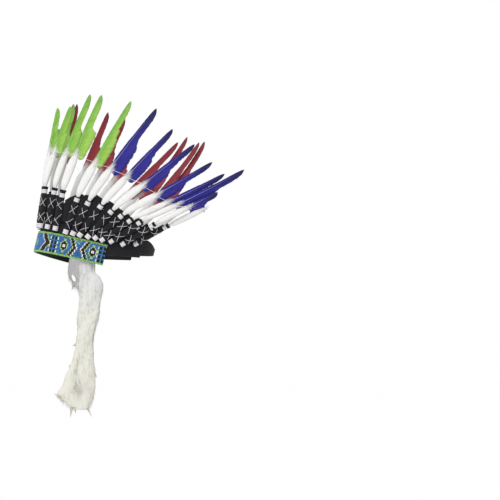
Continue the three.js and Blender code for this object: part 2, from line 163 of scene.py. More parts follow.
# One row for each feather: place round the band, lean back, flare out, angle at which it leaves
# its sleeve and bend in degrees, length as a share of FEATHER_LENGTH, height above the strip in
# mm, width of its sleeve as a share of SLEEVE_WIDTH. In mm the reach of the felt web at its foot
# and top, how far up it goes, how much lower its outer corner is and how far the felt goes past
# SLEEVE_LENGTH. Fullness, dye.
COLUMNS = (
    "around", "lean", "flare", "leave", "bend", "length", "up", "roll",
    "foot", "web", "top", "slant", "rim", "full", "dye",
)
LEFT_ROWS = (
    (12, 6, 4, 9.7, 7, 0.778, 9.5, 1, 4.4, 8, 58, 0, 2, 0.9, "green"),
    (27, 10, 7, 7, 8, 0.923, 9, 1, 5.4, 12, 58, 0, 2, 0.9, "green"),
    (39, 10.6, 9, 8, 6, 0.938, 8.5, 1, 4.5, 10, 58, 0, 2, 1, "green"),
    (52, 18, 10, 8, 5, 0.991, 6.1, 1, 12, 18.5, 72, 15, 0, 1, "green"),
    (60, 25, 11, 8, 5, 1.028, 6, 1, 5.9, 13, 76, 8, 0, 0.95, "blue"),
    (67, 35, 11.5, 6, 3, 0.938, 6, 1, 6.8, 15, 74.5, 0, 0, 0.95, "blue"),
    (75, 42, 12, 7.8, 2, 0.94, 6.2, 1, 5.6, 12.5, 74, 2, 0, 0.95, "blue"),
    (82, 49, 12.5, 12, -3, 0.925, 6.9, 0.92, 5, 11, 70.5, 4, 0, 0.9, "blue"),
    (88.5, 55, 13, 11.3, -5, 0.919, 6.4, 0.86, 4.4, 9, 60, 0, 0.8, 0.71, "blue"),
    (97, 56, 14.8, 10.6, -7, 1.029, 7.7, 0.84, 4.4, 5.2, 60, 0, 0.8, 0.68, "blue"),
    (108.5, 57, 17.3, 6, 0, 0.639, 8.3, 0.82, 4.4, 5.2, 60, 0, 0.8, 0.74, "blue"),
    (122, 60, 20, 4, 0, 0.345, 14.5, 0.82, 4.4, 5.2, 60, 0, 0.8, 0.76, "blue"),
)
RIGHT_ROWS = (
    (17, 7, 5, 6, 8, 0.608, 9.5, 1, 4.4, 8, 58, 0, 2, 0.9, "green"),
    (32, 10, 7, 1.2, 8, 0.898, 9, 1, 5.4, 12, 58, 0, 2, 0.9, "green"),
    (44, 11, 9, -1, 4, 0.923, 8.5, 1, 4.5, 10, 58, 0, 2, 0.6, "red"),
    (56, 18, 10, 4, 2, 0.976, 6.1, 1, 11, 17.5, 72, 13, 0, 1, "red"),
    (64.5, 26, 11, 0, 0, 0.993, 6, 1, 5.9, 13, 75, 7, 0, 0.75, "red"),
    (72, 34, 11.5, -1, -2, 0.758, 6, 1, 6.3, 14, 74, 0, 0, 0.95, "red"),
    (79.5, 42, 12, 3.6, -1, 1.07, 6.2, 1, 5.4, 12, 74, 3, 0, 0.94, "red"),
    (86.5, 46, 12.5, 2, -6, 0.725, 6.9, 0.92, 4.5, 10, 70, 4, 0, 0.7, "red"),
    (93, 48, 13, -4.2, -10, 1.139, 6.4, 0.86, 4.4, 7, 60, 0, 0.8, 0.7, "red"),
    (101.5, 49, 14, -2.4, -11, 1.149, 7.4, 0.84, 4.4, 5.2, 60, 0, 0.8, 0.72, "red"),
    (112, 50, 15.5, -6, -12, 1.179, 8.8, 0.82, 4.4, 5.2, 60, 0, 0.8, 0.85, "red"),
    (125, 54, 17, 0, -6, 0.419, 12.8, 0.82, 4.4, 5.2, 60, 0, 0.8, 0.9, "red"),
)
CENTRE_ROW = (0, 8.5, 0, 0, 3, 0.746, 10, 1, 4.4, 6, 58, 0, 2, 0.8, "green")

# Half width and half thickness of the felt of a sleeve along it, as shares of its half sizes
SLEEVE_SECTIONS = (
    (0, 0.5, 0.8),
    (0.8, 0.66, 0.92),
    (1.4, 0.72, 0.96),
    (9.0, 0.76, 0.96),
    (10.0, 0.82, 1.0),
    (16.0, 0.88, 1.04),
    (34.0, 0.92, 1.06),
    (52.0, 0.9, 1.04),
    (56.8, 0.84, 1.0),
    (57.6, 0.78, 0.96),
    (65.4, 0.78, 0.96),
    (66.2, 0.84, 1.0),
    (68.0, 0.88, 1.04),
)
# Felt, wraps and lower end of a sleeve that may touch the band: place along it, half width and
# half thickness as shares, raise in mm
SEAT_SECTIONS = (
    (0, 0.5, 0.8, 0),
    (LOWER_WRAP - WRAP_LENGTH / 2, 0.72, 1, WRAP_RAISE),
    (LOWER_WRAP + WRAP_LENGTH / 2, 0.78, 1, WRAP_RAISE),
    (LOWER_WRAP + WRAP_LENGTH / 2, 0.84, 1, 0),
)
SHOULDER_OUT = 0.68
SHOULDER_UP = 0.72

# Outline of the fluff: place as a share of FLUFF_LENGTH, leading and trailing reach and half
# thickness as shares
FLUFF_SECTIONS = (
    (-0.06, 0.42, 0.42, 0.42),
    (0.0, 0.52, 0.52, 0.56),
    (0.1, 0.76, 0.76, 0.8),
    (0.25, 0.92, 0.92, 0.95),
    (0.45, 1.0, 1.0, 1.0),
    (0.7, 1.0, 1.02, 0.92),
    (0.82, 0.84, 0.9, 0.72),
    (0.93, 0.54, 0.6, 0.5),
    (1.02, 0.3, 0.34, 0.3),
    (1.12, 0.05, 0.05, 0.1),
)
# Outline of the vane along the quill: place as a share of the vane, leading and trailing reach
VANE_OUTLINE = (
    (-0.08, 0.3, 0.6),
    (-0.04, 0.7, 0.92),
    (0.03, 0.92, 1.04),
    (0.14, 1.0, 1.1),
    (0.28, 1.0, 1.06),
    (0.38, 1.0, 0.98),
    (0.42, 1.0, 0.9),
    (0.445, 1.0, 0.74),
    (0.5, 1.0, 0.69),
    (0.64, 0.95, 0.66),
    (0.78, 0.9, 0.64),
    (0.9, 0.78, 0.5),
    (0.95, 0.64, 0.37),
    (0.98, 0.44, 0.2),
    (1.0, 0.1, 0.03),
)
# Width of a blue or red vane along it, as a share of the outline's: a step, then a long finger
POINTED = ((0.3, 1.08), (0.5, 1.0), (0.56, 0.82), (0.8, 0.82), (0.9, 0.84), (1.0, 0.8))
# Common place of that step along the vane, and of the vanes that have it elsewhere
STEP_AT = 0.53
STEPS = {
    "left_05": 0.5,
    "left_07": 0.62,
    "left_08": 0.42,
    "left_09": 0.55,
    "left_10": 0.56,
}
# Green vanes that have a step: its place and the width below and above it
GREEN_STEPS = {
    "left_02": (0.4, 1.1, 0.9),
    "left_03": (0.46, 1.3, 0.86),
    "left_04": (0.56, 1.1, 0.8),
}
# Vanes that are broader than the others
BROADER = {
    "left_03": 1.1,
    "left_05": 1.22,
    "left_06": 1.05,
    "left_09": 1.06,
    "left_10": 1.35,
    "left_11": 1.2,
}

# Fur drops from top to bottom: place as a share of DROP_LENGTH, middle and half width as shares
# of DROP_HALF_WIDTH, half thickness as a share of DROP_HALF_THICK
LEFT_DROP_SECTIONS = (
    (0, 0.15, 0.86, 0.4),
    (0.07, 0.12, 0.92, 0.5),
    (0.12, 0.12, 0.93, 0.85),
    (0.145, 0.38, 1.19, 0.95),
    (0.18, 0.54, 1.36, 1),
    (0.22, 0.6, 1.4, 1),
    (0.3, 0.51, 1.2, 1),
    (0.38, 0.37, 1.27, 1),
    (0.52, 0, 0.98, 1),
    (0.66, -0.2, 1.12, 1.05),
    (0.78, -0.18, 1.28, 1.15),
    (0.9, -0.24, 1.25, 1.15),
    (0.965, -0.47, 1.08, 0.95),
    (1, -0.58, 0.74, 0.5),
)
LEFT_FRONT_LOBE = (
    (0.61, -0.8, 0.45, 0.6),
    (0.7, -1.03, 0.62, 0.9),
    (0.78, -1.48, 0.83, 1.05),
    (0.85, -1.76, 1, 1.1),
    (0.9, -2.08, 1.16, 1),
    (0.93, -1.82, 1, 0.9),
    (0.96, -1.5, 0.75, 0.75),
    (0.985, -1.2, 0.45, 0.5),
)
RIGHT_DROP_SECTIONS = (
    (0, 0, 0.8, 0.4),
    (0.06, -0.06, 1, 0.7),
    (0.13, 0, 1.04, 0.9),
    (0.172, 0.2, 0.86, 1),
    (0.2, 0.5, 0.78, 1),
    (0.228, 0.95, 0.74, 1),
    (0.27, 1.3, 0.84, 1),
    (0.38, 1.4, 0.9, 1),
    (0.52, 1.15, 0.82, 1),
    (0.68, 0.85, 0.95, 1.05),
    (0.8, 0.5, 1.15, 1.1),
    (0.9, 0.35, 1.15, 1.05),
    (0.96, 0.15, 0.75, 0.5),
)

# Colours, linear
# Each dye: near the quill, at the outer edge, at the tip
DYES = {
    "green": ((0.21, 0.5, 0.05), (0.36, 0.6, 0.11), (0.24, 0.46, 0.1)),
    "blue": ((0.022, 0.017, 0.25), (0.03, 0.024, 0.29), (0.009, 0.01, 0.06)),
    "red": ((0.25, 0.018, 0.03), (0.32, 0.026, 0.042), (0.2, 0.022, 0.032)),
}
# A green vane on the far side is this much darker, painted shade from the near feathers in front of it,
# and the leading side of any green one differs
FAR_GREEN_PAINTED_SHADE = 0.6
GREEN_LEADING = (0.78, 0.84, 1.3)
# Share of a vane from which it darkens towards its tip, and how pale its quill is
DARK_FROM = {"green": 0.7, "blue": 0.5, "red": 0.7}
QUILL_PALE = {"green": 0.3, "blue": 0.5, "red": 0.25}
# White down fades into the dye: start and length of the fade at the quill in mm, and how much
# sooner it comes for each mm away from the quill
FADE_START = 5
FADE_LENGTH = 14
FADE_SOONER = 3.2
DOWN_WHITE = (0.78, 0.775, 0.76)
# Wisps are painted this much whiter than the down: painted light against the shade they cast on each
# other
WISP_PAINTED_LIGHT = 1.22
FUR_UPPER = np.array([0.64, 0.645, 0.64])
FUR_LOWER = np.array([0.68, 0.67, 0.595])
# The far drop's tint is scaled by this: painted light that brightens it in the shade it hangs in
FAR_FUR_PAINTED_LIGHT = 1.12
BEADS = {
    "B": (0.045, 0.17, 0.44),
    "T": (0.06, 0.27, 0.36),
    "G": (0.24, 0.47, 0.13),
    "L": (0.4, 0.6, 0.3),
    "K": (0.022, 0.01, 0.009),
    "N": (0.008, 0.01, 0.014),
    "W": (0.8, 0.8, 0.8),
    "V": (0.09, 0.07, 0.4),
}

TILT = np.array(Matrix.Rotation(math.radians(-CROWN_TILT), 3, "X"))


def rows_of(values):
    """Rows of the table above, with their columns named."""
    return [dict(zip(COLUMNS, v)) for v in values]


def unit(v):
    return v / np.linalg.norm(v, axis=-1, keepdims=True)


def oval(around, offset=0.0):
    """Points on the oval of the head opening, moved outwards, and their outward directions."""
    a = np.radians(np.asarray(around, float))
    s, c = np.sin(a), np.cos(a)
    flat = np.zeros_like(s)
    out = unit(np.stack([HEAD_HALF_LENGTH * s, -HEAD_HALF_WIDTH * c, flat], -1))
    at = np.stack([HEAD_HALF_WIDTH * s, -HEAD_HALF_LENGTH * c, flat], -1)
    return at + out * np.asarray(offset)[..., None], out


def rear_rise(around):
    """How much higher the band lies towards its rear, in mm."""
    past = -HEAD_HALF_LENGTH * np.cos(np.radians(around)) - REAR_RISE_START
    past = np.maximum(past, 0)
    return REAR_RISE * past * past / (past + REAR_RISE_EASE)


def band_height(around):
    """Height of the felt band, which is lower behind the beaded strip."""
    x = np.clip((np.abs(around) - 60) / 45, 0, 1)
    share = x * x * (3 - 2 * x)
    high = STRIP_HEIGHT + BAND_ABOVE_STRIP
    return high + (BAND_REAR_HEIGHT - high) * share


def wave(x, seed, rough=3):
    """Smooth seeded noise of about unit size along a line."""
    local = np.random.default_rng(seed)
    total = np.zeros_like(np.asarray(x, float))
    for k in range(1, rough + 1):
        total += np.sin(np.asarray(x) * k * 1.7 + local.uniform(0, 6.28)) / k
    return total / 1.6


def column(sections, at, index):
    """One column of a table of sections, read smoothly at the places asked for."""
    places = np.array([s[0] for s in sections], float)
    values = np.array([s[index] for s in sections], float)
    slopes = np.gradient(values, places)
    i = np.clip(np.searchsorted(places, at, side="right") - 1, 0, len(places) - 2)
    step = places[i + 1] - places[i]
    t = np.clip((at - places[i]) / step, 0, 1)
    a, b = values[i], values[i + 1]
    # No slope against the step, and none so steep that the curve runs past its ends
    way = np.sign(b - a)
    m0 = np.where(np.sign(slopes[i]) * way > 0, slopes[i], 0)
    m1 = np.where(np.sign(slopes[i + 1]) * way > 0, slopes[i + 1], 0)
    most = 2.5 * np.abs(b - a) / step
    m0, m1 = np.clip(m0, -most, most) * step, np.clip(m1, -most, most) * step
    t2, t3 = t * t, t * t * t
    return a * (2 * t3 - 3 * t2 + 1) + m0 * (t3 - 2 * t2 + t) + b * (3 * t2 - 2 * t3) + m1 * (t3 - t2)


class Pile:
    """Many closed forms joined into one mesh, with a colour for each point."""

    def __init__(self):
        self.points, self.quads, self.caps, self.tints, self.count = [], [], [], [], 0

    def tubes(self, rings, tint):
        """Closed tubes: rings has shape (tube, ring, point, 3)."""
        rings = np.asarray(rings, float)
        f, r, k, _ = rings.shape
        ids = np.arange(f * r * k).reshape(f, r, k) + self.count
        turned = np.roll(ids, -1, axis=2)
        quads = np.stack([ids[:, :-1], turned[:, :-1], turned[:, 1:], ids[:, 1:]], -1)
        self.quads.append(quads.reshape(-1, 4))
        self.caps += ids[:, 0, ::-1].tolist() + ids[:, -1].tolist()
        self.points.append(rings.reshape(-1, 3))
        self.tints.append(np.broadcast_to(tint, (f, r, k, 3)).reshape(-1, 3))
        self.count += f * r * k

    def shade(self, by):
        """Darkens what is in the pile so far, as painted shade."""
        self.tints = [tint * by for tint in self.tints]

    def pour(self, work):
        """Adds the forms to a bmesh."""
        held = bpy.data.meshes.new("pile")
        faces = np.concatenate(self.quads).tolist() + self.caps
        held.from_pydata((np.concatenate(self.points) * MM).tolist(), [], faces)
        tints = np.concatenate(self.tints)
        layer = held.color_attributes.new("tint", "FLOAT_COLOR", "POINT")
        layer.data.foreach_set("color", np.hstack([tints, np.ones((len(tints), 1))]).ravel())
        work.from_mesh(held)
        bpy.data.meshes.remove(held)
        return work

    def mesh(self, name, material, tilted=True):
        return finished(self.pour(bmesh.new()), name, material, tilted)


def shaped_drum(work, rings, tint=(1, 1, 1)):
    """Adds a closed drum whose rings are moved to the given rings of points."""
    rings = np.asarray(rings, float)
    count, sides, _ = rings.shape
    drum = bmesh.new()
    bmesh.ops.create_cone(
        drum, cap_ends=True, cap_tris=False, segments=sides, radius1=1, radius2=1, depth=1
    )
    upright = [e for e in drum.edges if abs(e.verts[0].co.z - e.verts[1].co.z) > 0.5]
    bmesh.ops.subdivide_edges(drum, edges=upright, cuts=count - 2, use_grid_fill=True)
    colours = drum.verts.layers.float_color.new("tint")
    tints = np.broadcast_to(tint, rings.shape)
    for v in drum.verts:
        ring = round((v.co.z + 0.5) * (count - 1))
        turn = round(math.atan2(v.co.y, v.co.x) * sides / (2 * math.pi)) % sides
        v.co = rings[ring, turn] * MM
        v[colours] = (*tints[ring, turn], 1)
    held = bpy.data.meshes.new("drum")
    drum.to_mesh(held)
    drum.free()
    work.from_mesh(held)
    bpy.data.meshes.remove(held)


def finished(work, name, material, tilted=True):
    """Object made of a bmesh, its faces turned out, tilted back as the crown is if need be."""
    bmesh.ops.recalc_face_normals(work, faces=work.faces)
    if tilted:
        bmesh.ops.rotate(work, verts=work.verts, cent=(0, 0, 0), matrix=Matrix(TILT.tolist()))
    data = bpy.data.meshes.new(name)
    work.to_mesh(data)
    work.free()
    data.polygons.foreach_set("use_smooth", [True] * len(data.polygons))
    data.materials.append(material)
    obj = bpy.data.objects.new(name, data)
    bpy.context.collection.objects.link(obj)
    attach(obj, "root")
    return obj


def tube_rings(path, radii, sides):
    """Rings of round tubes along paths of shape (tube, point, 3)."""
    path = np.asarray(path, float)
    along = unit(np.gradient(path, axis=1))
    one = unit(np.cross(along, np.array([0.31, 0.52, 0.79])))
    two = np.cross(along, one)
    turn = np.arange(sides) * 2 * math.pi / sides
    radii = np.broadcast_to(radii, path.shape[:2])[..., None, None]
    spread = one[:, :, None] * np.cos(turn)[:, None] + two[:, :, None] * np.sin(turn)[:, None]
    return path[:, :, None] + spread * radii


# Materials
def link(tree, a, b):
    tree.links.new(a, b)


def plain_material(name, roughness, sheen=0.0):
    """Material with one shader, its node tree and the shader."""
    material = bpy.data.materials.new(name)
    material.use_nodes = True
    tree = material.node_tree
    shader = tree.nodes["Principled BSDF"]
    shader.inputs["Roughness"].default_value = roughness
    shader.inputs["Sheen Weight"].default_value = sheen
    shader.inputs["Specular IOR Level"].default_value = 0.35
    return material, tree, shader


def new_group(name, inputs, outputs):
    """Empty node group with named sockets, and its two ends."""
    tree = bpy.data.node_groups.new(name, "ShaderNodeTree")
    for label, kind, value in inputs:
        socket = tree.interface.new_socket(label, in_out="INPUT", socket_type=kind)
        socket.default_value = value
    for label, kind in outputs:
        tree.interface.new_socket(label, in_out="OUTPUT", socket_type=kind)
    start = tree.nodes.new("NodeGroupInput")
    end = tree.nodes.new("NodeGroupOutput")
    return tree, start, end


def fibre_group():
    """Fine fibres that vary a colour and give a height, stretched along the object's height."""
    tree, start, end = new_group(
        "fibres",
        [
            ("Colour", "NodeSocketColor", (0.5, 0.5, 0.5, 1)),
            ("Scale", "NodeSocketFloat", 400.0),
            ("Stretch", "NodeSocketFloat", 1.0),
            ("Vary", "NodeSocketFloat", 0.15),
        ],
        [("Colour", "NodeSocketColor"), ("Height", "NodeSocketFloat")],
    )
    place = tree.nodes.new("ShaderNodeTexCoord")
    stretch = tree.nodes.new("ShaderNodeCombineXYZ")
    stretch.inputs[0].default_value = 1
    stretch.inputs[1].default_value = 1
    link(tree, start.outputs["Stretch"], stretch.inputs[2])
    scaled = tree.nodes.new("ShaderNodeVectorMath")
    scaled.operation = "MULTIPLY"
    link(tree, place.outputs["Object"], scaled.inputs[0])
    link(tree, stretch.outputs[0], scaled.inputs[1])
    noise = tree.nodes.new("ShaderNodeTexNoise")
    noise.inputs["Detail"].default_value = 3
    link(tree, scaled.outputs[0], noise.inputs["Vector"])
    link(tree, start.outputs["Scale"], noise.inputs["Scale"])
    centred = tree.nodes.new("ShaderNodeMath")
    centred.operation = "SUBTRACT"
    centred.inputs[1].default_value = 0.5
    link(tree, noise.outputs["Fac"], centred.inputs[0])
    shade = tree.nodes.new("ShaderNodeMath")
    shade.operation = "MULTIPLY_ADD"
    shade.inputs[2].default_value = 1
    link(tree, centred.outputs[0], shade.inputs[0])
    link(tree, start.outputs["Vary"], shade.inputs[1])
    colour = tree.nodes.new("ShaderNodeVectorMath")
    colour.operation = "SCALE"
    link(tree, start.outputs["Colour"], colour.inputs[0])
    link(tree, shade.outputs[0], colour.inputs["Scale"])
    link(tree, colour.outputs[0], end.inputs["Colour"])
    link(tree, noise.outputs["Fac"], end.inputs["Height"])
    return tree


FIBRES = fibre_group()


def fibre_material(name, roughness, scale, stretch, vary, bump, sheen=0.0, colour=None):
    """Material with fine fibres, in one colour or in the points' own tint."""
    material, tree, shader = plain_material(name, roughness, sheen)
    fibres = tree.nodes.new("ShaderNodeGroup")
    fibres.node_tree = FIBRES
    fibres.inputs["Scale"].default_value = scale
    fibres.inputs["Stretch"].default_value = stretch
    fibres.inputs["Vary"].default_value = vary
    if colour is None:
        tint = tree.nodes.new("ShaderNodeAttribute")
        tint.attribute_name = "tint"
        link(tree, tint.outputs["Color"], fibres.inputs["Colour"])
    else:
        fibres.inputs["Colour"].default_value = (*colour, 1)
    link(tree, fibres.outputs["Colour"], shader.inputs["Base Color"])
    if bump:
        raised = tree.nodes.new("ShaderNodeBump")
        raised.inputs["Strength"].default_value = 0.6
        raised.inputs["Distance"].default_value = bump
        link(tree, fibres.outputs["Height"], raised.inputs["Height"])
        link(tree, raised.outputs["Normal"], shader.inputs["Normal"])
    return material


def bead_material():
    """Glossy glass in each bead's own colour."""
    material, tree, shader = plain_material("glass_beads", 0.28)
    tint = tree.nodes.new("ShaderNodeAttribute")
    tint.attribute_name = "tint"
    link(tree, tint.outputs["Color"], shader.inputs["Base Color"])
    return material


FELT = fibre_material(
    "black_felt",
    roughness=0.95,
    scale=700,
    stretch=1,
    vary=1.1,
    bump=0.0006,
    sheen=0.04,
    colour=(0.009, 0.0095, 0.012),
)
THREAD = fibre_material(
    "white_thread", roughness=0.7, scale=900, stretch=1, vary=0.2, bump=0, sheen=0.1
)
VANE = fibre_material(
    "feather_vane", roughness=0.6, scale=260, stretch=0.6, vary=0.18, bump=0, sheen=0.02
)
DOWN = fibre_material(
    "feather_down", roughness=0.85, scale=420, stretch=0.25, vary=0.16, bump=0.0004, sheen=0.3
)
FUR = fibre_material(
    "white_fur", roughness=0.9, scale=300, stretch=0.1, vary=0.1, bump=0.0002, sheen=0.25
)
BEAD = bead_material()


# Felt walls
def felt_wall(name, start, end, steps, offset, wall, bottom, height, seed):
    """Wall along the oval with rounded edges and a slightly uneven face."""
    around = np.linspace(start, end, steps + 1)
    low = bottom(around)
    high = low + height(around) + 0.25 * wave(around * 0.15, seed + 5)
    half = wall / 2
    share = np.linspace(0, 1, 9)
    up, out = [], []
    for s in share:
        up.append((s, 0.0))
        out.append(half)
    for k in (30, 90, 150):
        up.append((1.0, math.sin(math.radians(k))))
        out.append(half * math.cos(math.radians(k)))
    for s in share[::-1]:
        up.append((s, 0.0))
        out.append(-half)
    for k in (210, 270, 330):
        up.append((0.0, math.sin(math.radians(k))))
        out.append(half * math.cos(math.radians(k)))
    rings = []
    for i, place in enumerate(around):
        lower, upper = low[i] + half, high[i] - half
        z = np.array([lower + (upper - lower) * a + half * b for a, b in up])
        rough = 0.22 * wave(place * 0.12 + z * 0.09, seed) + 0.1 * wave(place * 0.5 - z * 0.2, seed + 1)
        across = np.array(out) + rough
        at, _ = oval(np.full(len(z), place), offset + across)
        at[:, 2] = z
        rings.append(at)
    work = bmesh.new()
    shaped_drum(work, rings)
    return finished(work, name, FELT)


def band_bottom(around):
    return STRIP_BOTTOM + rear_rise(around)


headband = felt_wall(
    "felt_headband",
    start=-BAND_END,
    end=BAND_END,
    steps=180,
    offset=0,
    wall=BAND_WALL,
    bottom=band_bottom,
    height=band_height,
    seed=3,
)
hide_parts("headband")


def strap_taper(around):
    """Share of the rear's own sizes: one at the rear, none at the strap's ends."""
    x = np.clip(np.abs(around - 180) / STRAP_TAPER, 0, 1)
    return 1 - x * x * (3 - 2 * x)


def strap_bottom(around):
    rear = STRAP_REAR_UP + STRAP_REAR_LIFT - STRAP_UP
    return band_bottom(around) + STRAP_UP + rear * strap_taper(around)


def strap_height(around):
    worn = STRAP_WORN * np.exp(-(((np.abs(around - 180) - STRAP_WORN_AT) / STRAP_WORN_SPREAD) ** 2))
    rear = STRAP_REAR_HEIGHT - STRAP_REAR_LIFT - STRAP_HEIGHT
    return STRAP_HEIGHT + rear * strap_taper(around) - worn


strap = felt_wall(
    "felt_back_strap",
    start=BAND_END - STRAP_OVERLAP,
    end=360 - BAND_END + STRAP_OVERLAP,
    steps=110,
    offset=-BAND_WALL / 2 - GAP - STRAP_WALL / 2,
    wall=STRAP_WALL,
    bottom=strap_bottom,
    height=strap_height,
    seed=9,
)
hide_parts("back_strap")
backing = felt_wall(
    "strip_backing",
    start=-STRIP_END,
    end=STRIP_END,
    steps=140,
    offset=BAND_WALL / 2 + GAP + BACKING_WALL / 2,
    wall=BACKING_WALL,
    bottom=lambda around: np.full_like(around, STRIP_BOTTOM + BACKING_INSET),
    height=lambda around: np.full_like(around, STRIP_HEIGHT - 2 * BACKING_INSET),
    seed=14,
)

# Bead chart of half the strip, from the middle of the front to the end: rows of beads from top
# to bottom, columns outwards
BEAD_ROWS = 14
BEAD_COLUMNS = 62
BORDER_BEAD = 3.3
MIDDLE_ROW = (BEAD_ROWS - 1) / 2
# Beads of another blue in the ground, as running shares of all
TEAL_SHARE = 0.09
VIOLET_SHARE = 0.13
# Kind of figure, column of its middle or tip, and its colours from the front outwards
FIGURES = (
    ("speck", 4, ""),
    ("wide_point", 15, "WKKKKL"),
    ("dots", 23, ""),
    ("diamond", 32, ""),
    ("between", 42, ""),
    ("point_out", 38, "LKKW"),
    ("point_in", 44, "WKKL"),
    ("diamond", 53, ""),
    ("dots", 59, ""),
)
# Columns by which a point's edge moves outwards with each row away from its tip
POINT_SLOPES = {"wide_point": -0.85, "point_out": -0.55, "point_in": 0.55}
DIAMOND_REACH = 2.7
DIAMOND_SLOPE = 0.68
DOT_ROWS = (2, 3, 5, 6, 8, 9, 11, 12)
DOT_ACROSS = ((-3, "W"), (-2, "N"), (-1, "N"), (0, "T"), (1, "N"), (2, "N"), (3, "W"))
# Each bead: height and width of its rings as shares, depth of its middle under the strip's face
BEAD_RINGS = ((-0.48, 0.62), (-0.3, 0.98), (0.3, 0.98), (0.48, 0.62))
BEAD_SINK = 1.05


def chart_point(put, middle, slope, codes):
    """Nested points with their tips in the middle rows."""
    for r in range(BEAD_ROWS):
        shift = round(slope * (abs(r - MIDDLE_ROW) - 0.5))
        for k, code in enumerate(codes):
            put(r, middle + shift + k, code)


def chart_diamond(put, middle):
    """Dark diamond in a pale line, with a white heart."""
    for r in range(BEAD_ROWS):
        off = abs(r - MIDDLE_ROW)
        reach = DIAMOND_REACH - DIAMOND_SLOPE * off
        for c in range(-4, 4):
            across = abs(c + 0.5)
            if across < reach + 1:
                put(r, middle + c, "K" if across < reach else "L")
        if off < 1:
            put(r, middle - 1, "W")
            put(r, middle, "W")


def chart_between(put, middle):
    """Pale and teal triangle that hangs from the upper border."""
    for r in range(1, 5):
        for c in range(r - 4, 4 - r):
            put(r, middle + c, "L" if (r + 2 * c) % 3 == 0 else "T")


def chart_speck(put, middle):
    """Small chequered lozenge."""
    for r in range(4, 10):
        for c in range(-2, 3):
            if abs(c) + abs(r - MIDDLE_ROW) < 3:
                put(r, middle + c, "G" if (r + c) % 2 else "T")


def chart_dots(put, middle):
    """Column of dark squares between white beads."""
    for r in DOT_ROWS:
        for c, code in DOT_ACROSS:
            put(r, middle + c, code)


CHARTS = {
    "diamond": chart_diamond,
    "between": chart_between,
    "speck": chart_speck,
    "dots": chart_dots,
}


def bead_chart():
    """Codes of the beads' colours: a blue ground, the figures and the green borders."""
    local = np.random.default_rng(5)
    chart = []
    for _ in range(BEAD_ROWS):
        picks = [local.random() for _ in range(BEAD_COLUMNS)]
        chart.append(["T" if p < TEAL_SHARE else "V" if p < VIOLET_SHARE else "B" for p in picks])

    def put(r, c, code):
        if 0 <= c < BEAD_COLUMNS:
            chart[r][c] = code

    for kind, middle, codes in FIGURES:
        if kind in POINT_SLOPES:
            chart_point(put, middle, POINT_SLOPES[kind], codes)
        else:
            CHARTS[kind](put, middle)
    chart[0] = chart[-1] = ["G"] * BEAD_COLUMNS
    chart[1][-1] = "G"
    return chart


def bead_strip():
    """Seed beads in upright columns over the felt, both halves alike."""
    chart = bead_chart()
    fine = np.linspace(0, STRIP_END, 2000)
    offset = BAND_WALL / 2 + GAP + STRIP_WALL - BEAD_SINK
    line, _ = oval(fine, offset)
    arc = np.concatenate([[0], np.cumsum(np.linalg.norm(np.diff(line, axis=0), axis=1))])
    pitch = arc[-1] / BEAD_COLUMNS
    # The border rows are of larger beads
    heights = np.full(BEAD_ROWS, (STRIP_HEIGHT - 2 * BORDER_BEAD) / (BEAD_ROWS - 2))
    heights[[0, -1]] = BORDER_BEAD
    row_middle = STRIP_HEIGHT / 2 - np.cumsum(heights) + heights / 2
    local = np.random.default_rng(8)
    places, tints, tall = [], [], []
    for side in (-1, 1):
        for c in range(BEAD_COLUMNS):
            around = np.interp((c + 0.5) * pitch, arc, fine)
            for r in range(BEAD_ROWS):
                places.append((side * around, row_middle[r]))
                tall.append(heights[r])
                tone = 1 + local.normal(0, 0.09)
                tints.append(np.clip(np.array(BEADS[chart[r][c]]) * tone, 0, 0.95))
    places, tints, tall = np.array(places), np.array(tints), np.array(tall)
    at, out = oval(places[:, 0], np.full(len(places), offset))
    at = at + np.stack([np.zeros(len(at)), np.zeros(len(at)), places[:, 1]], -1)
    at += local.normal(0, 0.06, at.shape)
    side_way = np.cross(out, np.array([0, 0, 1.0]))
    turn = np.arange(8) * math.pi / 4 + math.pi / 8
    rings = []
    for level, wide in BEAD_RINGS:
        size = local.normal(1, 0.03, (len(at), 1, 1))
        ring = at[:, None] + size * (
            side_way[:, None] * (np.cos(turn) * wide * pitch * 0.49)[:, None]
            + out[:, None] * (np.sin(turn) * wide * 1.0)[:, None]
        )
        ring[:, :, 2] += level * tall[:, None]
        rings.append(ring)
    pile = Pile()
    pile.tubes(np.stack(rings, 1), tints[:, None, None])
    obj = pile.mesh("bead_field", BEAD)
    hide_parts("beaded_strip")
    return obj


bead_strip()


# Sleeves
def sleeve_axes(row, side):
    """Directions of a sleeve: along it, out of its face, and across it to its trailing side."""
    tilted = math.radians(row["lean"] - CROWN_TILT)
    flare = math.radians(row["flare"])
    along = np.array([
        side * math.sin(flare),
        math.cos(flare) * math.sin(tilted),
        math.cos(flare) * math.cos(tilted),
    ])
    turn = math.radians(FACE_TURN + FACE_TURN_RATE * row["around"])
    face = np.array([side * math.sin(turn), -math.cos(turn), 0.0])
    face = unit(face - along * face.dot(along))
    return along, face, np.cross(along, face) * side


def sleeve_root(row, side, axes):
    """Foot of a sleeve, as far off the band as its roll and wraps need to clear it."""
    along, face, wide = axes
    at, normal = oval(side * row["around"], 0.0)
    across, through = abs(wide.dot(normal)), abs(face.dot(normal))
    reach = 0
    for place, w, t, raise_by in SEAT_SECTIONS:
        w = w * row["roll"] * SLEEVE_WIDTH / 2 + raise_by
        t = t * SLEEVE_THICK / 2 + raise_by
        ring = max(w * across, t * through, w * SHOULDER_OUT * across + t * SHOULDER_UP * through)
        reach = max(reach, ring - (place - LOWER_WRAP) * along.dot(normal))
    root = at + normal * (BAND_WALL / 2 + GAP + reach)
    root[2] = STRIP_HEIGHT / 2 + row["up"]
    return root - along * LOWER_WRAP


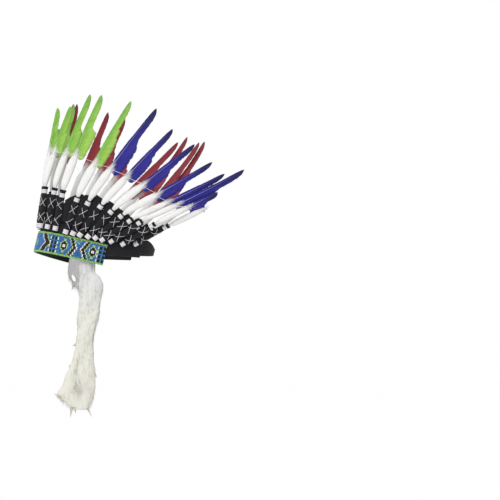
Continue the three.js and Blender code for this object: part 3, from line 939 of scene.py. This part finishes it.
def oval_rings(root, axes, at, wide, thick, sides):
    """Rings of an oval body along the sleeve."""
    along, face, across = axes
    turn = np.arange(sides) * 2 * math.pi / sides
    w = np.asarray(wide)[:, None] * np.cos(turn)
    t = np.asarray(thick)[:, None] * np.sin(turn)
    centre = root + along * np.asarray(at)[:, None]
    return centre[:, None] + across * w[..., None] + face * t[..., None]


def felt_roll(work, root, axes, row, seed):
    """Rolled finger of felt, hollow at its top, where the rim turns in."""
    rim = SLEEVE_LENGTH + row["rim"] - row["roll_drop"]
    at = np.concatenate([[0, 0.4, 0.8, 1.4], np.linspace(9, rim - 1, 40), [rim - 0.4, rim]])
    wide = column(SLEEVE_SECTIONS, at, 1) * row["roll"] * SLEEVE_WIDTH / 2
    if row["rim"]:
        wide = wide + RIM_FLARE * np.clip((at - rim + 5) / 2, 0, 1)
    thick = column(SLEEVE_SECTIONS, at, 2) * SLEEVE_THICK / 2
    wide = wide * (1 + 0.02 * wave(at * 0.14, seed))
    thick = thick * (1 + 0.03 * wave(at * 0.11, seed + 1))
    wide[0] *= 0.7
    thick[0] *= 0.7
    at = np.concatenate([at, [rim + 0.1, rim - 0.4, rim - 4]])
    wide = np.concatenate([wide, wide[-1] - np.array([0.7, 1.2, 1.4])])
    thick = np.concatenate([thick, thick[-1] - np.array([0.6, 1.0, 1.2])])
    shaped_drum(work, oval_rings(root, axes, at, wide, thick, 24))


def felt_web(work, root, axes, row, seed):
    """Flat felt behind the roll that widens upwards, its leading corner cut lower."""
    along, face, across = axes
    inner = -SLEEVE_THICK / 2 + WEB_SINK
    past = WEB_PAST if row["rank"] in WEB_PAST_ROWS else 0
    rings = []
    for s in np.linspace(0, 1, 11):
        lead = row["foot"] + (row["web"] + row["web_more"] - row["foot"]) * s
        trail = WEB_TRAIL + past * s
        middle, half = (trail - lead) / 2, (trail + lead) / 2
        ring = []
        for k in range(20):
            a = math.radians(9 + 18 * k)
            w = math.copysign(abs(math.cos(a)) ** 0.35, math.cos(a)) * half
            t = math.copysign(abs(math.sin(a)) ** 0.55, math.sin(a)) * WEB_THICK / 2
            sag = 0.3 * float(wave(w * 0.2 + s * 4, seed))
            lower = 1.25 * row["slant"] * np.clip((-middle - w - 3) / (lead - 3), 0, 1)
            up = WEB_START + (row["top"] + row["top_more"] - lower - WEB_START) * s
            deep = inner - WEB_THICK / 2 + t + sag
            ring.append(root + along * up + across * (middle + w) + face * deep)
        rings.append(ring)
    shaped_drum(work, rings)


def sleeve_felt(place, root, axes, row, seed):
    work = bmesh.new()
    felt_roll(work, root, axes, row, seed)
    felt_web(work, root, axes, row, seed + 2)
    obj = finished(work, "felt_sleeve_" + place, FELT)
    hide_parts("sleeve_" + place)


def sleeve_wraps(place, root, axes, row, seed):
    """Both wraps, each wound of thread turns that lie side by side."""
    local = np.random.default_rng(seed)
    work = bmesh.new()
    lower = LOWER_WRAP - LOWER_WRAP_DROP
    upper = UPPER_WRAP - row["wrap_drop"]
    for middle, length in ((lower, LOWER_WRAP_LENGTH), (upper, UPPER_WRAP_LENGTH)):
        share = np.linspace(0, 1, 2 * WRAP_TURNS + 1)
        ridge = np.where(np.arange(len(share)) % 2 == 1, 0.22, -0.16)
        at = middle + (share - 0.5) * length
        at = np.concatenate([[at[0] - 0.1], at, [at[-1] + 0.1]])
        ridge = np.concatenate([[-0.9], ridge, [-0.9]])
        wide = WRAP_WIDE * row["roll"] * SLEEVE_WIDTH / 2 + WRAP_RAISE + ridge
        wide = wide + local.normal(0, 0.04, len(at))
        thick = SLEEVE_THICK / 2 + WRAP_RAISE + ridge + local.normal(0, 0.04, len(at))
        # Painted light on the crests of the turns, painted shade in the dips between them and in the
        # grooves between bundles
        tone = 0.7 + 0.14 * (ridge > 0) + local.normal(0, 0.015, len(at))
        turns = np.linspace(0, 1, len(at))
        groove = np.minimum(*(np.abs(turns - g) for g in WRAP_GROOVES))
        tone = tone - WRAP_GROOVE_SHADE * np.exp(-(groove / WRAP_GROOVE_WIDE) ** 2)
        tint = tone[:, None] * np.array([1.0, 0.97, 0.985])
        shaped_drum(work, oval_rings(root, axes, at, wide, thick, 20), tint[:, None])
    obj = finished(work, "thread_wraps_" + place, THREAD)


def sleeve_stitches(place, root, axes, row, seed):
    """Two crossed stitches over the face of the sleeve."""
    along, face, across = axes
    local = np.random.default_rng(seed)
    half = 0.92 * row["roll"] * SLEEVE_WIDTH / 2
    t = np.linspace(-1, 1, 13)
    paths = []
    for share in STITCH_HEIGHTS:
        middle = LOWER_WRAP + (UPPER_WRAP - LOWER_WRAP) * share + local.normal(0, 0.9)
        cross = local.choice([-2.4, -0.5, 0.4]) + local.normal(0, 0.3)
        for slope in (-1, 1):
            w = t * STITCH_REACH * local.uniform(0.9, 1.05)
            rise = slope * STITCH_RISE / (STITCH_REACH + 0.6 * abs(cross)) * local.uniform(0.9, 1.15)
            up = middle + rise * (w - cross) + local.normal(0, 0.9) * t ** 2
            inside = np.clip(1 - (np.abs(w) / (half + 0.5)) ** 2, 0, 1)
            out = SLEEVE_THICK / 2 * 1.05 * np.sqrt(inside) + 0.25
            out = out - np.maximum(0, np.abs(w) - half) * 0.8
            paths.append(root + along * up[:, None] + across * w[:, None] + face * out[:, None])
    pile = Pile()
    pile.tubes(tube_rings(np.array(paths), THREAD_RADIUS, 5), (0.8, 0.8, 0.82))
    obj = pile.mesh("cross_stitches_" + place, THREAD)


# Feathers
class Quill:
    """Line of a feather with its direction and its trailing side at any place along it."""

    def __init__(self, place, root, axes, row):
        along, face, across = axes
        self.place, self.row = place, row
        self.along, self.face, self.across = axes
        self.length = row["length"] * FEATHER_LENGTH
        self.at = np.linspace(0, self.length, 241)
        step = self.at[1]
        middle = self.angle_at(self.at[:-1] + step / 2)
        moves = along * (np.cos(middle) * step)[:, None] + across * (np.sin(middle) * step)[:, None]
        start = root + along * (SLEEVE_LENGTH + row["rim"] + GAP)
        start = start + face * (-SLEEVE_THICK / 2 + WEB_SINK + GAP + FLUFF_HALF_THICK)
        self.line = start + np.concatenate([[np.zeros(3)], np.cumsum(moves, axis=0)])

    def angle_at(self, at):
        """Angle to the sleeve: first the one at which it leaves, then its bend as well."""
        left = np.clip(at / LEAVE_LENGTH, 0, 1)
        return np.radians(self.row["leave"] * left + self.row["bend"] * at / self.length)

    def frame(self, at):
        """Points on the line and their directions along and across, also a little past its ends."""
        at = np.asarray(at, float)
        inside = np.clip(at, 0, self.length)
        centre = np.stack([np.interp(inside, self.at, self.line[:, k]) for k in range(3)], -1)
        angle = self.angle_at(inside)[..., None]
        along = self.along * np.cos(angle) + self.across * np.sin(angle)
        across = self.across * np.cos(angle) - self.along * np.sin(angle)
        return centre + along * (at - inside)[..., None], along, across

    def put(self, at, w, out):
        """Points at places along the quill, moved across it and out of its face."""
        centre, _, across = self.frame(at)
        return centre + across * np.asarray(w)[..., None] + self.face * np.asarray(out)[..., None]


def vane_reach(quill, share, side):
    """Reach of one side of the vane at shares of its length."""
    row = quill.row
    reach = column(VANE_OUTLINE, share, 2 if side > 0 else 1)
    if row["dye"] != "green":
        stepped = np.interp(share, [0, STEPS.get(quill.place, STEP_AT), 1], [0, STEP_AT, 1])
        reach = reach * np.interp(stepped, *np.transpose(POINTED))
    elif quill.place in GREEN_STEPS and side > 0:
        at, below, above = GREEN_STEPS[quill.place]
        reach = reach * np.interp(share, [0.1, at - 0.03, at + 0.02], [1, below, above])
    if side < 0:
        return reach * VANE_LEAD
    broad = min(1, 0.45 + (quill.length - FLUFF_LENGTH) / FLUFF_LENGTH)
    broad = broad * (0.5 + 0.5 * row["full"]) * BROADER.get(quill.place, 1)
    return reach * (VANE_TRAIL * broad)


def vane_tint(dye, share, along, w, side, seed):
    """White near the quill at the base, dye beyond, darker towards the tip."""
    base, edge, tip = (np.array(c) for c in DYES[dye])
    if dye == "green" and side < 0:
        base = base * GREEN_LEADING
    bare = (along - FLUFF_LENGTH + FADE_SOONER * np.abs(w) - FADE_START) / FADE_LENGTH
    bare = np.clip(bare, 0, 1)
    dyed = (bare * bare * (3 - 2 * bare))[..., None]
    first = DARK_FROM[dye]
    dark = (np.clip((share - first) / (1 - first), 0, 1) ** 1.3)[..., None]
    outward = np.clip(np.abs(w) / 9, 0, 1) * (1 if side > 0 else 0.3) + 0.1 * wave(share * 5, seed)
    outward = np.clip(outward, 0, 1)[..., None]
    colour = (base * (1 - outward) + edge * outward) * (1 - dark) + tip * dark
    return np.array(DOWN_WHITE) * (1 - dyed) + colour * dyed


def vane_blade(work, quill, seed):
    """Thin solid body of the vane under its barbs."""
    dye = quill.row["dye"]
    share = [np.linspace(-0.06, 0.38, 16), np.linspace(0.4, 0.48, 6), np.linspace(0.52, 0.995, 18)]
    share = np.concatenate(share)
    trail = BLADE_SHARE * vane_reach(quill, share, 1)
    lead = BLADE_SHARE * vane_reach(quill, share, -1)
    at = FLUFF_LENGTH + share * (quill.length - FLUFF_LENGTH)
    turn = np.arange(12) * math.pi / 6
    c = np.cos(turn)
    w = np.where(c > 0, trail[:, None], lead[:, None]) * np.sign(c) * np.abs(c) ** 0.8
    cup = np.where(w > 0, -0.010, -0.02) * w ** 2
    out = cup + 0.12 * np.sin(turn) - 0.1
    rings = quill.put(np.repeat(at[:, None], 12, 1), w, out)
    both = np.where(w > 0, 1, 0.3)
    tint = vane_tint(dye, np.repeat(share[:, None], 12, 1), at[:, None], w * both, 1, seed)
    # The blade under the barbs is painted darker than them: painted shade under the barbs
    tint = tint * (0.86 if dye == "green" else 0.8)
    shaped_drum(work, rings, np.clip(tint, 0, 1))


def vane_side(pile, quill, side, seed):
    """Barbs of one side of the vane, from the quill out: side 1 trails and side -1 leads."""
    local = np.random.default_rng(seed)
    vane = quill.length - FLUFF_LENGTH
    count = max(24, int(vane / BARB_SPACING))
    share = np.linspace(-0.07, 1, count)
    reach = vane_reach(quill, share, side)
    # Small steps in the edge, and a few splits where barbs part
    reach = reach * (1 + 0.035 * wave(share * 40, seed) + local.normal(0, 0.012, count))
    number = np.arange(count)
    shift = np.zeros(count)
    for _ in range(3 if side > 0 else 1):
        cut = local.uniform(0.1, 0.85) * count
        wide = local.uniform(0.8, 1.9)
        far = number - cut
        shift += wide * np.sign(far) * np.exp(-np.abs(far) / 7)
    slant = np.interp(share, [-0.07, 0.03, 0.2, 0.5, 0.9, 1.0], [-0.35, 0.0, 0.6, 1.05, 1.6, 1.9])
    end = FLUFF_LENGTH + share * vane
    start = np.maximum.accumulate(end - slant * reach)
    start = np.minimum(start, quill.length - 0.2)
    segments = 5
    t = np.linspace(0, 1, segments)
    at = start[:, None] + (end - start)[:, None] * t ** 1.35 + shift[:, None] * t ** 2
    at = np.clip(at, None, quill.length + 0.5)
    w = side * reach[:, None] * t
    cup = -0.010 * w ** 2 if side > 0 else -0.02 * w ** 2
    flutter = 0.25 * wave(share * 9, seed + 1)[:, None] * t + local.normal(0, 0.05, (count, 1)) * t
    line = quill.put(at, w, cup + flutter)
    # Each barb is a thin strip a little wider than its share of the vane, with a low ridge
    spread = np.gradient(line, axis=0)
    most = 1.5 * BARB_SPACING
    size = np.linalg.norm(spread, axis=-1, keepdims=True)
    spread = spread * np.minimum(1, most / np.maximum(size, 1e-6))
    spread = spread * np.interp(t, [0, 0.8, 1], [0.72, 0.72, 0.45])[None, :, None]
    lift = quill.face * 0.16
    rings = np.stack([line - spread - lift * 0.6, line + spread - lift * 0.6, line + lift], 2)
    tone = (1 + local.normal(0, 0.05, count) + 0.06 * wave(share * 12, seed + 3))[:, None, None]
    shares = np.repeat(share[:, None], segments, 1)
    tint = vane_tint(quill.row["dye"], shares, end[:, None], w, side, seed + 4) * tone
    tint = np.repeat(np.clip(tint, 0, 1)[:, :, None], 3, axis=2)
    pile.tubes(rings, tint)


def quill_tube(pile, quill):
    """The quill itself, pale at its foot and dyed towards the tip."""
    dye = quill.row["dye"]
    base = np.array(DYES[dye][1])
    at = np.linspace(-1, quill.length - 1, 40)
    radius = np.interp(at, [-1, FLUFF_LENGTH, quill.length], [1.2, 0.62, 0.15])
    path = quill.put(at, np.zeros_like(at), np.full_like(at, 0.25))
    share = np.clip((at - FLUFF_LENGTH) / (quill.length - FLUFF_LENGTH), 0, 1)[:, None]
    fade = np.where(share > 0, (1 - share) ** 1.2 * QUILL_PALE[dye], 1)
    pale = np.array([0.62, 0.62, 0.62]) * fade + base * (1 - fade)
    rings = tube_rings(path[None], radius[None], 6)
    pile.tubes(rings, np.clip(pale, 0, 1)[None, :, None])


def vane(quill, seed):
    """Dyed vane: barbs on both sides of the quill, over a thin blade."""
    dye = quill.row["dye"]
    pile = Pile()
    vane_side(pile, quill, 1, seed)
    vane_side(pile, quill, -1, seed + 7)
    quill_tube(pile, quill)
    # Painted shade on a green vane on the far side
    if dye == "green" and quill.place.startswith("right"):
        pile.shade(FAR_GREEN_PAINTED_SHADE)
    work = bmesh.new()
    vane_blade(work, quill, seed + 9)
    obj = finished(pile.pour(work), "vane_" + quill.place, VANE)
    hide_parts("feather_" + quill.place)


def fluff_outline(row):
    """Shares of the fluff's length, places along the quill, and its reaches and thickness there."""
    slim = row["roll"] < SLIM_ROLL
    share = np.linspace(-0.005 if slim else -0.06 if row["rim"] else -0.02, 1.11, 34)
    at = share * FLUFF_LENGTH
    at = at - row["roll_drop"] * np.clip(1 - (at + 3) / 22, 0, 1)
    foot = np.clip((share + 0.04) / 0.22, 0, 1)
    narrow = foot + (1 - foot) * (0.8 if slim else 0.86)
    lead = column(FLUFF_SECTIONS, share, 1) * FLUFF_HALF_WIDTH * row["full"] * narrow
    trail = column(FLUFF_SECTIONS, share, 2) * FLUFF_HALF_WIDTH * row["full"] * narrow
    thick = column(FLUFF_SECTIONS, share, 3) * FLUFF_HALF_THICK * narrow
    return share, at, lead, trail, thick


def fluff_body(work, quill, outline, seed):
    """Soft white spindle of down, with painted shade on its lower, trailing side, on its back and at
    its foot.
    """
    _, at, lead, trail, thick = outline
    sides = 22
    turn = np.arange(sides) * 2 * math.pi / sides
    ripple = 1 + 0.018 * wave(at[:, None] * 0.12 + turn * 1.0, seed) + 0.02 * np.cos(turn * 3 + seed)
    tuck = (1.3 if quill.row["rim"] else 0.4) * np.clip(1 - (at + 4) / 14, 0, 1)
    w = np.where(np.cos(turn) > 0, trail[:, None], lead[:, None]) * np.cos(turn) * ripple
    out = thick[:, None] * np.sin(turn) * ripple - tuck[:, None]
    rings = quill.put(np.repeat(at[:, None], sides, 1), w, out)
    # Painted shade on the lower, trailing side and the back, and at the foot by the sleeve
    under = np.clip(np.cos(turn - math.radians(-20)), 0, 1) ** 1.5
    shade = 1 - 0.3 * under - 0.1 * np.clip(-np.sin(turn), 0, 1)
    foot = 1 - 0.1 * np.clip(1 - at / 10, 0, 1)
    shaped_drum(work, rings, np.array(DOWN_WHITE) * (shade * foot[:, None])[..., None])


def fluff_wisps(pile, quill, outline, seed):
    """Fine wisps that lie forward on the fluff and, from its top, over the vane."""
    share, _, lead, trail, thick = outline
    local = np.random.default_rng(seed)
    count = BODY_WISPS + TOP_WISPS
    where = [local.uniform(0.05, TOP_START, BODY_WISPS), local.uniform(TOP_START, 1.04, TOP_WISPS)]
    where = np.concatenate(where)
    about = local.uniform(0, 2 * math.pi, count)
    top = where > TOP_START
    long = np.where(top, local.uniform(6, 14, count), local.uniform(5, 10, count))
    splay = np.where(top, local.uniform(-0.1, 0.16, count), local.uniform(0.02, 0.1, count))
    steps = np.array([0.0, 0.4, 0.75, 1.0])
    c, s = np.cos(about), np.sin(about)
    beside = np.where(c > 0, np.interp(where, share, trail), np.interp(where, share, lead)) * c * 0.96
    above = np.interp(where, share, thick) * s * 0.96
    grow = long[:, None] * steps
    bend = splay[:, None] * grow * (0.5 + 0.5 * steps)
    w = beside[:, None] + c[:, None] * bend + local.normal(0, 0.25, (count, 1)) * steps
    out = above[:, None] + s[:, None] * bend + np.where(top, 0.5, 0.1)[:, None] * steps
    at = where[:, None] * FLUFF_LENGTH + grow
    path = quill.put(at, w, out)
    radius = np.where(top, 0.17, 0.13)[:, None] * np.array([1, 0.8, 0.5, 0.12])
    dyed = np.where(top, 0.55, 0)[:, None] * np.clip((at - 56) / 20, 0, 1)
    dyed = dyed[..., None, None]
    # Wisps painted whiter than the down: painted light
    white = np.clip(np.array(DOWN_WHITE) * WISP_PAINTED_LIGHT, 0, 0.97)
    edge = np.array(DYES[quill.row["dye"]][1])
    pile.tubes(tube_rings(path, radius, 3), white * (1 - dyed) + edge * dyed)


def fluff(quill, seed):
    outline = fluff_outline(quill.row)
    work = bmesh.new()
    fluff_body(work, quill, outline, seed)
    pile = Pile()
    fluff_wisps(pile, quill, outline, seed)
    obj = finished(pile.pour(work), "down_" + quill.place, DOWN)
    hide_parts("feather_" + quill.place)


places = [("left_%02d" % (i + 1), 1, r) for i, r in enumerate(rows_of(LEFT_ROWS))]
places.append(("front", 1, rows_of([CENTRE_ROW])[0]))
places += [("right_%02d" % (i + 1), -1, r) for i, r in enumerate(rows_of(RIGHT_ROWS))]
quills = {}
for number, (place, side, row) in enumerate(places):
    # Each piece has its own seed, counted on from its feather's
    seed = 100 + number * 20
    row["rank"] = 1 if place == "front" else int(place[-2:])
    row["wrap_drop"] = WRAP_DROPS[row["rank"] - 1]
    row["roll_drop"] = ROLL_DROPS[row["rank"] - 1]
    row["top_more"], row["web_more"] = WEB_MORE.get(row["rank"], (0, 0))
    axes = sleeve_axes(row, side)
    root = sleeve_root(row, side, axes)
    sleeve_felt(place, root, axes, row, seed)
    sleeve_wraps(place, root, axes, row, seed + 3)
    sleeve_stitches(place, root, axes, row, seed + 4)
    quills[place] = Quill(place, root, axes, row)
    vane(quills[place], seed + 5)
    fluff(quills[place], seed + 15)


def spacing_thread():
    """Thread that spaces the feathers, through the tops of their fluff."""
    order = ["right_%02d" % i for i in range(11, 0, -1)]
    order += ["front"] + ["left_%02d" % i for i in range(1, 12)]
    points = []
    for place in order:
        quill = quills[place]
        reach = 0.55 * FLUFF_HALF_WIDTH * quill.row["full"]
        if place.startswith("right"):
            reach = -reach
        for w in (-reach, reach):
            out = FLUFF_HALF_THICK * 0.42 + 0.6
            points.append(quill.put(SPACING_THREAD_AT * FLUFF_LENGTH, w, out))
    pile = Pile()
    pile.tubes(tube_rings(np.array(points)[None], SPACING_THREAD_RADIUS, 5), (0.85, 0.85, 0.85))
    thread = pile.mesh("spacing_thread", THREAD)


spacing_thread()


# Fur drops
def drop_frame(side):
    """Top of a drop, and its directions out of its face and across it towards the rear."""
    at, face = oval(side * DROP_AROUND, -BAND_WALL / 2 - DROP_STAND - DROP_HALF_THICK)
    low = TILT @ np.array([at[0], at[1], STRIP_BOTTOM])
    wide = np.array([-face[1], face[0], 0.0]) * side
    return np.array([at[0], low[1], low[2] + DROP_TUCK]), face, wide


def hollow(w, share):
    """How deep the fur is pressed in between the two lower lobes of the left drop."""
    near, over = (w - HOLLOW_W) / HOLLOW_HALF_W, (share - HOLLOW_AT) / HOLLOW_HALF
    return np.exp(-near ** 2 - over ** 2)


def drop_surface(sections, side, share, turn, seed):
    """Points of a lock of fur at shares of its length and turns round it, and their tint."""
    top, face, wide = drop_frame(side)
    # Folds along the lock and a ragged edge
    middle = column(sections, share, 1)
    half = column(sections, share, 2)
    thick = column(sections, share, 3) * DROP_HALF_THICK
    fold = 1 + 0.035 * np.cos(3 * turn + 8 * share + seed) + 0.02 * np.cos(7 * turn - share * 9 + seed)
    edge = 1 + 0.035 * wave(share * 34, seed + 2, 4)
    w = middle + half * np.cos(turn) * fold * edge * 0.98
    # Out of its face: the hollow, and fine creases across its upper half
    lean = (1 - column(sections, share, 3)) * DROP_HALF_THICK
    sunk = hollow(w, share) if side > 0 else np.zeros_like(w)
    lines = 0.5 + 0.5 * np.cos(150 * share + 3 * w + 2 * np.sin(2 * w + 9 * share))
    ripple = 0.5 * lines * np.exp(-((share - 0.38) / 0.07) ** 2) * (1 + np.sin(turn)) / 2
    out = lean + thick * np.sin(turn) * fold * 0.92 - (2.6 * sunk + ripple) * (np.sin(turn) > 0)
    down = np.array([0.0, 0.0, -DROP_LENGTH])
    at = top + wide * (w * DROP_HALF_WIDTH)[..., None] + face * out[..., None] + down * share[..., None]
    # Greyish white above, creamier below and patchy, with painted shade at its edges, in the hollow and
    # on its back
    creamy = np.clip((share - 0.15) / 0.35, 0, 1)[..., None]
    tint = FUR_UPPER * (1 - creamy) + FUR_LOWER * creamy
    patch = 0.05 * wave(share * 16 + w * 1.5, seed + 5) * (1 + 0.4 * w)
    # Painted shade at the edges of the lock
    rim = 0.1 * np.clip(np.abs(np.cos(turn)) - 0.8, 0, 0.2) / 0.2
    tint = tint * (1 + patch - rim)[..., None]
    # Painted shade in the hollow and on the back side of the lock
    tint = tint * (1 - 0.28 * sunk - 0.06 * (np.sin(turn) < -0.2))[..., None]
    # The far drop is painted lighter: painted light in its shade
    return at, (tint if side > 0 else tint * FAR_FUR_PAINTED_LIGHT)


def pierce(work, side, place, half_across, half_along, lean):
    """Opens a leaning oval hole through a drop, with a wall between its rims.

    Returns a test that says which places on the drop lie in the hole.
    """
    top, _, wide = drop_frame(side)
    c, s = math.cos(math.radians(lean)), math.sin(math.radians(lean))

    def spot(w, share):
        across, below = (w - place[0]) * DROP_HALF_WIDTH, (share - place[1]) * DROP_LENGTH
        return (across * c - below * s) / half_across, (across * s + below * c) / half_along

    def spot_of(co):
        rel = np.array(co) / MM - top
        return spot(rel.dot(wide) / DROP_HALF_WIDTH, -rel[2] / DROP_LENGTH)

    inside = [f for f in work.faces if math.hypot(*spot_of(f.calc_center_median())) < 1]
    bmesh.ops.delete(work, geom=inside, context="FACES")
    rims = [e for e in work.edges if e.is_boundary]
    for v in {v for e in rims for v in e.verts}:
        a, b = spot_of(v.co)
        far = math.hypot(a, b)
        a, b = a * (1 / far - 1) * half_across, b * (1 / far - 1) * half_along
        move = wide * (a * c + b * s)
        move[2] -= b * c - a * s
        v.co += Vector(move) * MM
    bmesh.ops.bridge_loops(work, edges=rims)
    return lambda w, share: np.hypot(*spot(w, share)) < 1.05


def tuft(hair, side, form, tint, seed):
    """A bunch of hair that narrows to one tip: way is across and up the drop."""
    share, w, out, way, length, wide, count = form
    local = np.random.default_rng(seed)
    top, face, across = drop_frame(side)
    foot = top + across * w * DROP_HALF_WIDTH + face * out
    foot[2] -= share * DROP_LENGTH
    way = np.array(way, float) / math.hypot(*way)
    along = across * way[0] + np.array([0, 0, way[1]])
    beside = across * way[1] - np.array([0, 0, way[0]])
    spread = local.uniform(-1, 1, (count, 2))
    t = np.linspace(-0.35, 1, 6)
    close = (1 - np.clip(t, 0, 1)) ** 0.8
    path = foot + along * (t[None, :, None] * length * local.uniform(0.65, 1, (count, 1, 1)))
    path = path + beside * (spread[:, :1, None] * close[None, :, None] * wide)
    path = path + face * (spread[:, 1:, None] * close[None, :, None] * wide * 0.5)
    path = path + beside * (0.12 * length * np.clip(t, 0, 1) ** 2)[None, :, None]
    radius = np.linspace(0.42, 0.08, 6) * np.ones((count, 1))
    hair.tubes(tube_rings(path, radius, 4), tint)


def lock_hairs(hair, local, sections, side, within, seed):
    """Short hairs that lie downwards all over one lock of fur, and none in its hole."""
    first, last = sections[0][0], sections[-1][0]
    count = int(DROP_HAIRS * (last - first))
    at = local.uniform(first, last - 0.015, count)
    about = local.uniform(0, 2 * math.pi, count)
    if within:
        w = column(sections, at, 1) + column(sections, at, 2) * np.cos(about)
        clear = ~(within(w, at) | within(w, at + 0.02) | within(w, at + 0.035))
        at, about, count = at[clear], about[clear], int(clear.sum())
    foot, tint = drop_surface(sections, side, at, about, seed)
    inside, _ = drop_surface(sections, side, at, about + math.pi, seed)
    out = unit(foot - inside)
    out[:, 2] = 0
    long = local.uniform(5, 11, count)
    steps = np.array([0.0, 0.5, 1.0])
    away = local.uniform(-0.02, 0.06, count)[:, None] * long[:, None] * steps
    drift = local.normal(0, 0.7, (count, 1, 3)) * (steps ** 1.5)[None, :, None]
    path = foot[:, None] + out[:, None] * away[..., None] + drift
    path[:, :, 2] -= long[:, None] * steps
    radius = local.uniform(0.1, 0.19, count)[:, None] * np.array([1, 0.75, 0.1])
    shade = (1 + local.normal(0, 0.03, (count, 1, 1, 1))) * tint[:, None, None]
    hair.tubes(tube_rings(path, radius, 3), np.clip(shade, 0, 0.97))


def fur_drop(name, node, side, locks, seed, tufts, hole=None):
    """Hide and coat of a drop: locks of fur, their hairs and tufts, and a hole if it has one."""
    local = np.random.default_rng(seed)
    work = bmesh.new()
    hair = Pile()
    for number, sections in enumerate(locks):
        share = np.linspace(sections[0][0], sections[-1][0], DROP_RINGS)
        share = np.repeat(share[:, None], DROP_SIDES, 1)
        turn = np.repeat(np.arange(DROP_SIDES)[None] * 2 * math.pi / DROP_SIDES, DROP_RINGS, 0)
        rings, tint = drop_surface(sections, side, share, turn, seed + number)
        shaped_drum(work, rings, tint)
    within = pierce(work, side, *hole) if hole else None
    for number, sections in enumerate(locks):
        lock_hairs(hair, local, sections, side, within, seed + number)
    # Tufts of the far drop get the same painted light
    tone = FUR_LOWER * 0.9 if side > 0 else FUR_LOWER * FAR_FUR_PAINTED_LIGHT
    for number, form in enumerate(tufts):
        tuft(hair, side, form, tone, seed + 60 + number)
    body = finished(work, name, FUR, tilted=False)
    coat = hair.mesh(name + "_hair", FUR, tilted=False)
    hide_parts(node)
    return body, coat


# Tufts: share of the drop's length, place across, place out in mm, way across and up, length and
# half width in mm, number of hairs
LEFT_TUFTS = (
    (0.585, -1.12, 0, (-1, -0.5), 6, 2.5, 50),
    (0.775, 1.02, 0, (1, -1.1), 6.5, 2.5, 50),
    (0.93, -2.75, 2, (-1, 0.62), 15, 3, 90),
    (0.985, -1.62, 1, (0.05, -1), 17, 2.6, 80),
    (0.985, -1.2, 1, (0.25, -1), 12, 2.2, 60),
    (0.985, 0.15, 1, (0.6, -0.85), 18, 2.2, 40),
    (0.72, -1.72, 0, (-1, -0.6), 4, 2, 40),
)
RIGHT_TUFTS = (
    (0.185, -0.42, 0, (-0.25, -1), 11, 2.4, 60),
    (0.95, 0.1, 0, (0.1, -1), 13, 4, 80),
)
# Hole of the right drop: its place across and along, its half sizes in mm and its lean in degrees
RIGHT_HOLE = ((-0.42, 0.143), 3.9, 6.7, 30)
left_fur, left_hair = fur_drop(
    "fur_left", "fur_drop_left", 1, (LEFT_DROP_SECTIONS, LEFT_FRONT_LOBE), 31, LEFT_TUFTS
)
right_fur, right_hair = fur_drop(
    "fur_right", "fur_drop_right", -1, (RIGHT_DROP_SECTIONS,), 47, RIGHT_TUFTS, RIGHT_HOLE
)

# Floor, light and camera, in metres
FLOOR_SIZE = 60
FLOOR_Z = -0.5
FLOOR_SHADE = 0.98
# Strength of the light from all round, on the part and as the camera sees the ground
ROUND_LIGHT = 0.66
GROUND_SEEN = 1.0
KEY_WAY = (-1.0, 0.55, -1.1)
KEY_LIGHT = 1.7
KEY_SPREAD = 40
VIEW_AROUND = 83
VIEW_ABOVE = -2.4
VIEW_DISTANCE = 4.0
VIEW_LENS = 170.6
# Middle of the picture, to the right of and above the part's origin
MIDDLE_RIGHT = 0.2618
MIDDLE_UP = 0.0109


def pale_floor():
    work = bmesh.new()
    lowered = Matrix.Translation((0, 0, FLOOR_Z))
    bmesh.ops.create_grid(work, x_segments=1, y_segments=1, size=FLOOR_SIZE / 2, matrix=lowered)
    data = bpy.data.meshes.new("floor")
    work.to_mesh(data)
    work.free()
    material, _, shader = plain_material("floor", 1.0)
    shader.inputs["Base Color"].default_value = (FLOOR_SHADE, FLOOR_SHADE, FLOOR_SHADE, 1)
    data.materials.append(material)
    floor = bpy.data.objects.new("floor", data)
    bpy.context.collection.objects.link(floor)


def round_light():
    """Even light from all round, seen by the camera as a white ground."""
    world = bpy.data.worlds.new("studio")
    bpy.context.scene.world = world
    world.use_nodes = True
    background = world.node_tree.nodes["Background"]
    background.inputs[0].default_value = (1, 1, 1, 1)
    seen = world.node_tree.nodes.new("ShaderNodeLightPath")
    level = world.node_tree.nodes.new("ShaderNodeMapRange")
    level.inputs["To Min"].default_value = ROUND_LIGHT
    level.inputs["To Max"].default_value = GROUND_SEEN
    link(world.node_tree, seen.outputs["Is Camera Ray"], level.inputs["Value"])
    link(world.node_tree, level.outputs["Result"], background.inputs[1])


def key_light():
    """Wide soft light from the upper left."""
    data = bpy.data.lights.new("key", "SUN")
    data.energy = KEY_LIGHT
    data.angle = math.radians(KEY_SPREAD)
    key = bpy.data.objects.new("key", data)
    key.rotation_euler = Vector(KEY_WAY).to_track_quat("-Z", "Y").to_euler()
    bpy.context.collection.objects.link(key)


def photo_view():
    """Camera that looks from the wearer's left, a little below, past the headdress's rear."""
    data = bpy.data.cameras.new("photo_view")
    data.lens = VIEW_LENS
    data.sensor_width = 36
    data.clip_start = 0.05
    data.clip_end = 200
    camera = bpy.data.objects.new("photo_view", data)
    bpy.context.collection.objects.link(camera)
    around, above = math.radians(VIEW_AROUND), math.radians(VIEW_ABOVE)
    level = math.cos(above)
    back = Vector((math.sin(around) * level, -math.cos(around) * level, math.sin(above)))
    right = Vector((math.cos(around), math.sin(around), 0))
    camera.location = back * VIEW_DISTANCE
    aim = right * MIDDLE_RIGHT + back.cross(right) * MIDDLE_UP - camera.location
    camera.rotation_mode = "QUATERNION"
    camera.rotation_quaternion = aim.to_track_quat("-Z", "Y")
    bpy.context.scene.camera = camera


pale_floor()
round_light()
key_light()
photo_view()
bpy.context.scene.view_settings.view_transform = "Standard"
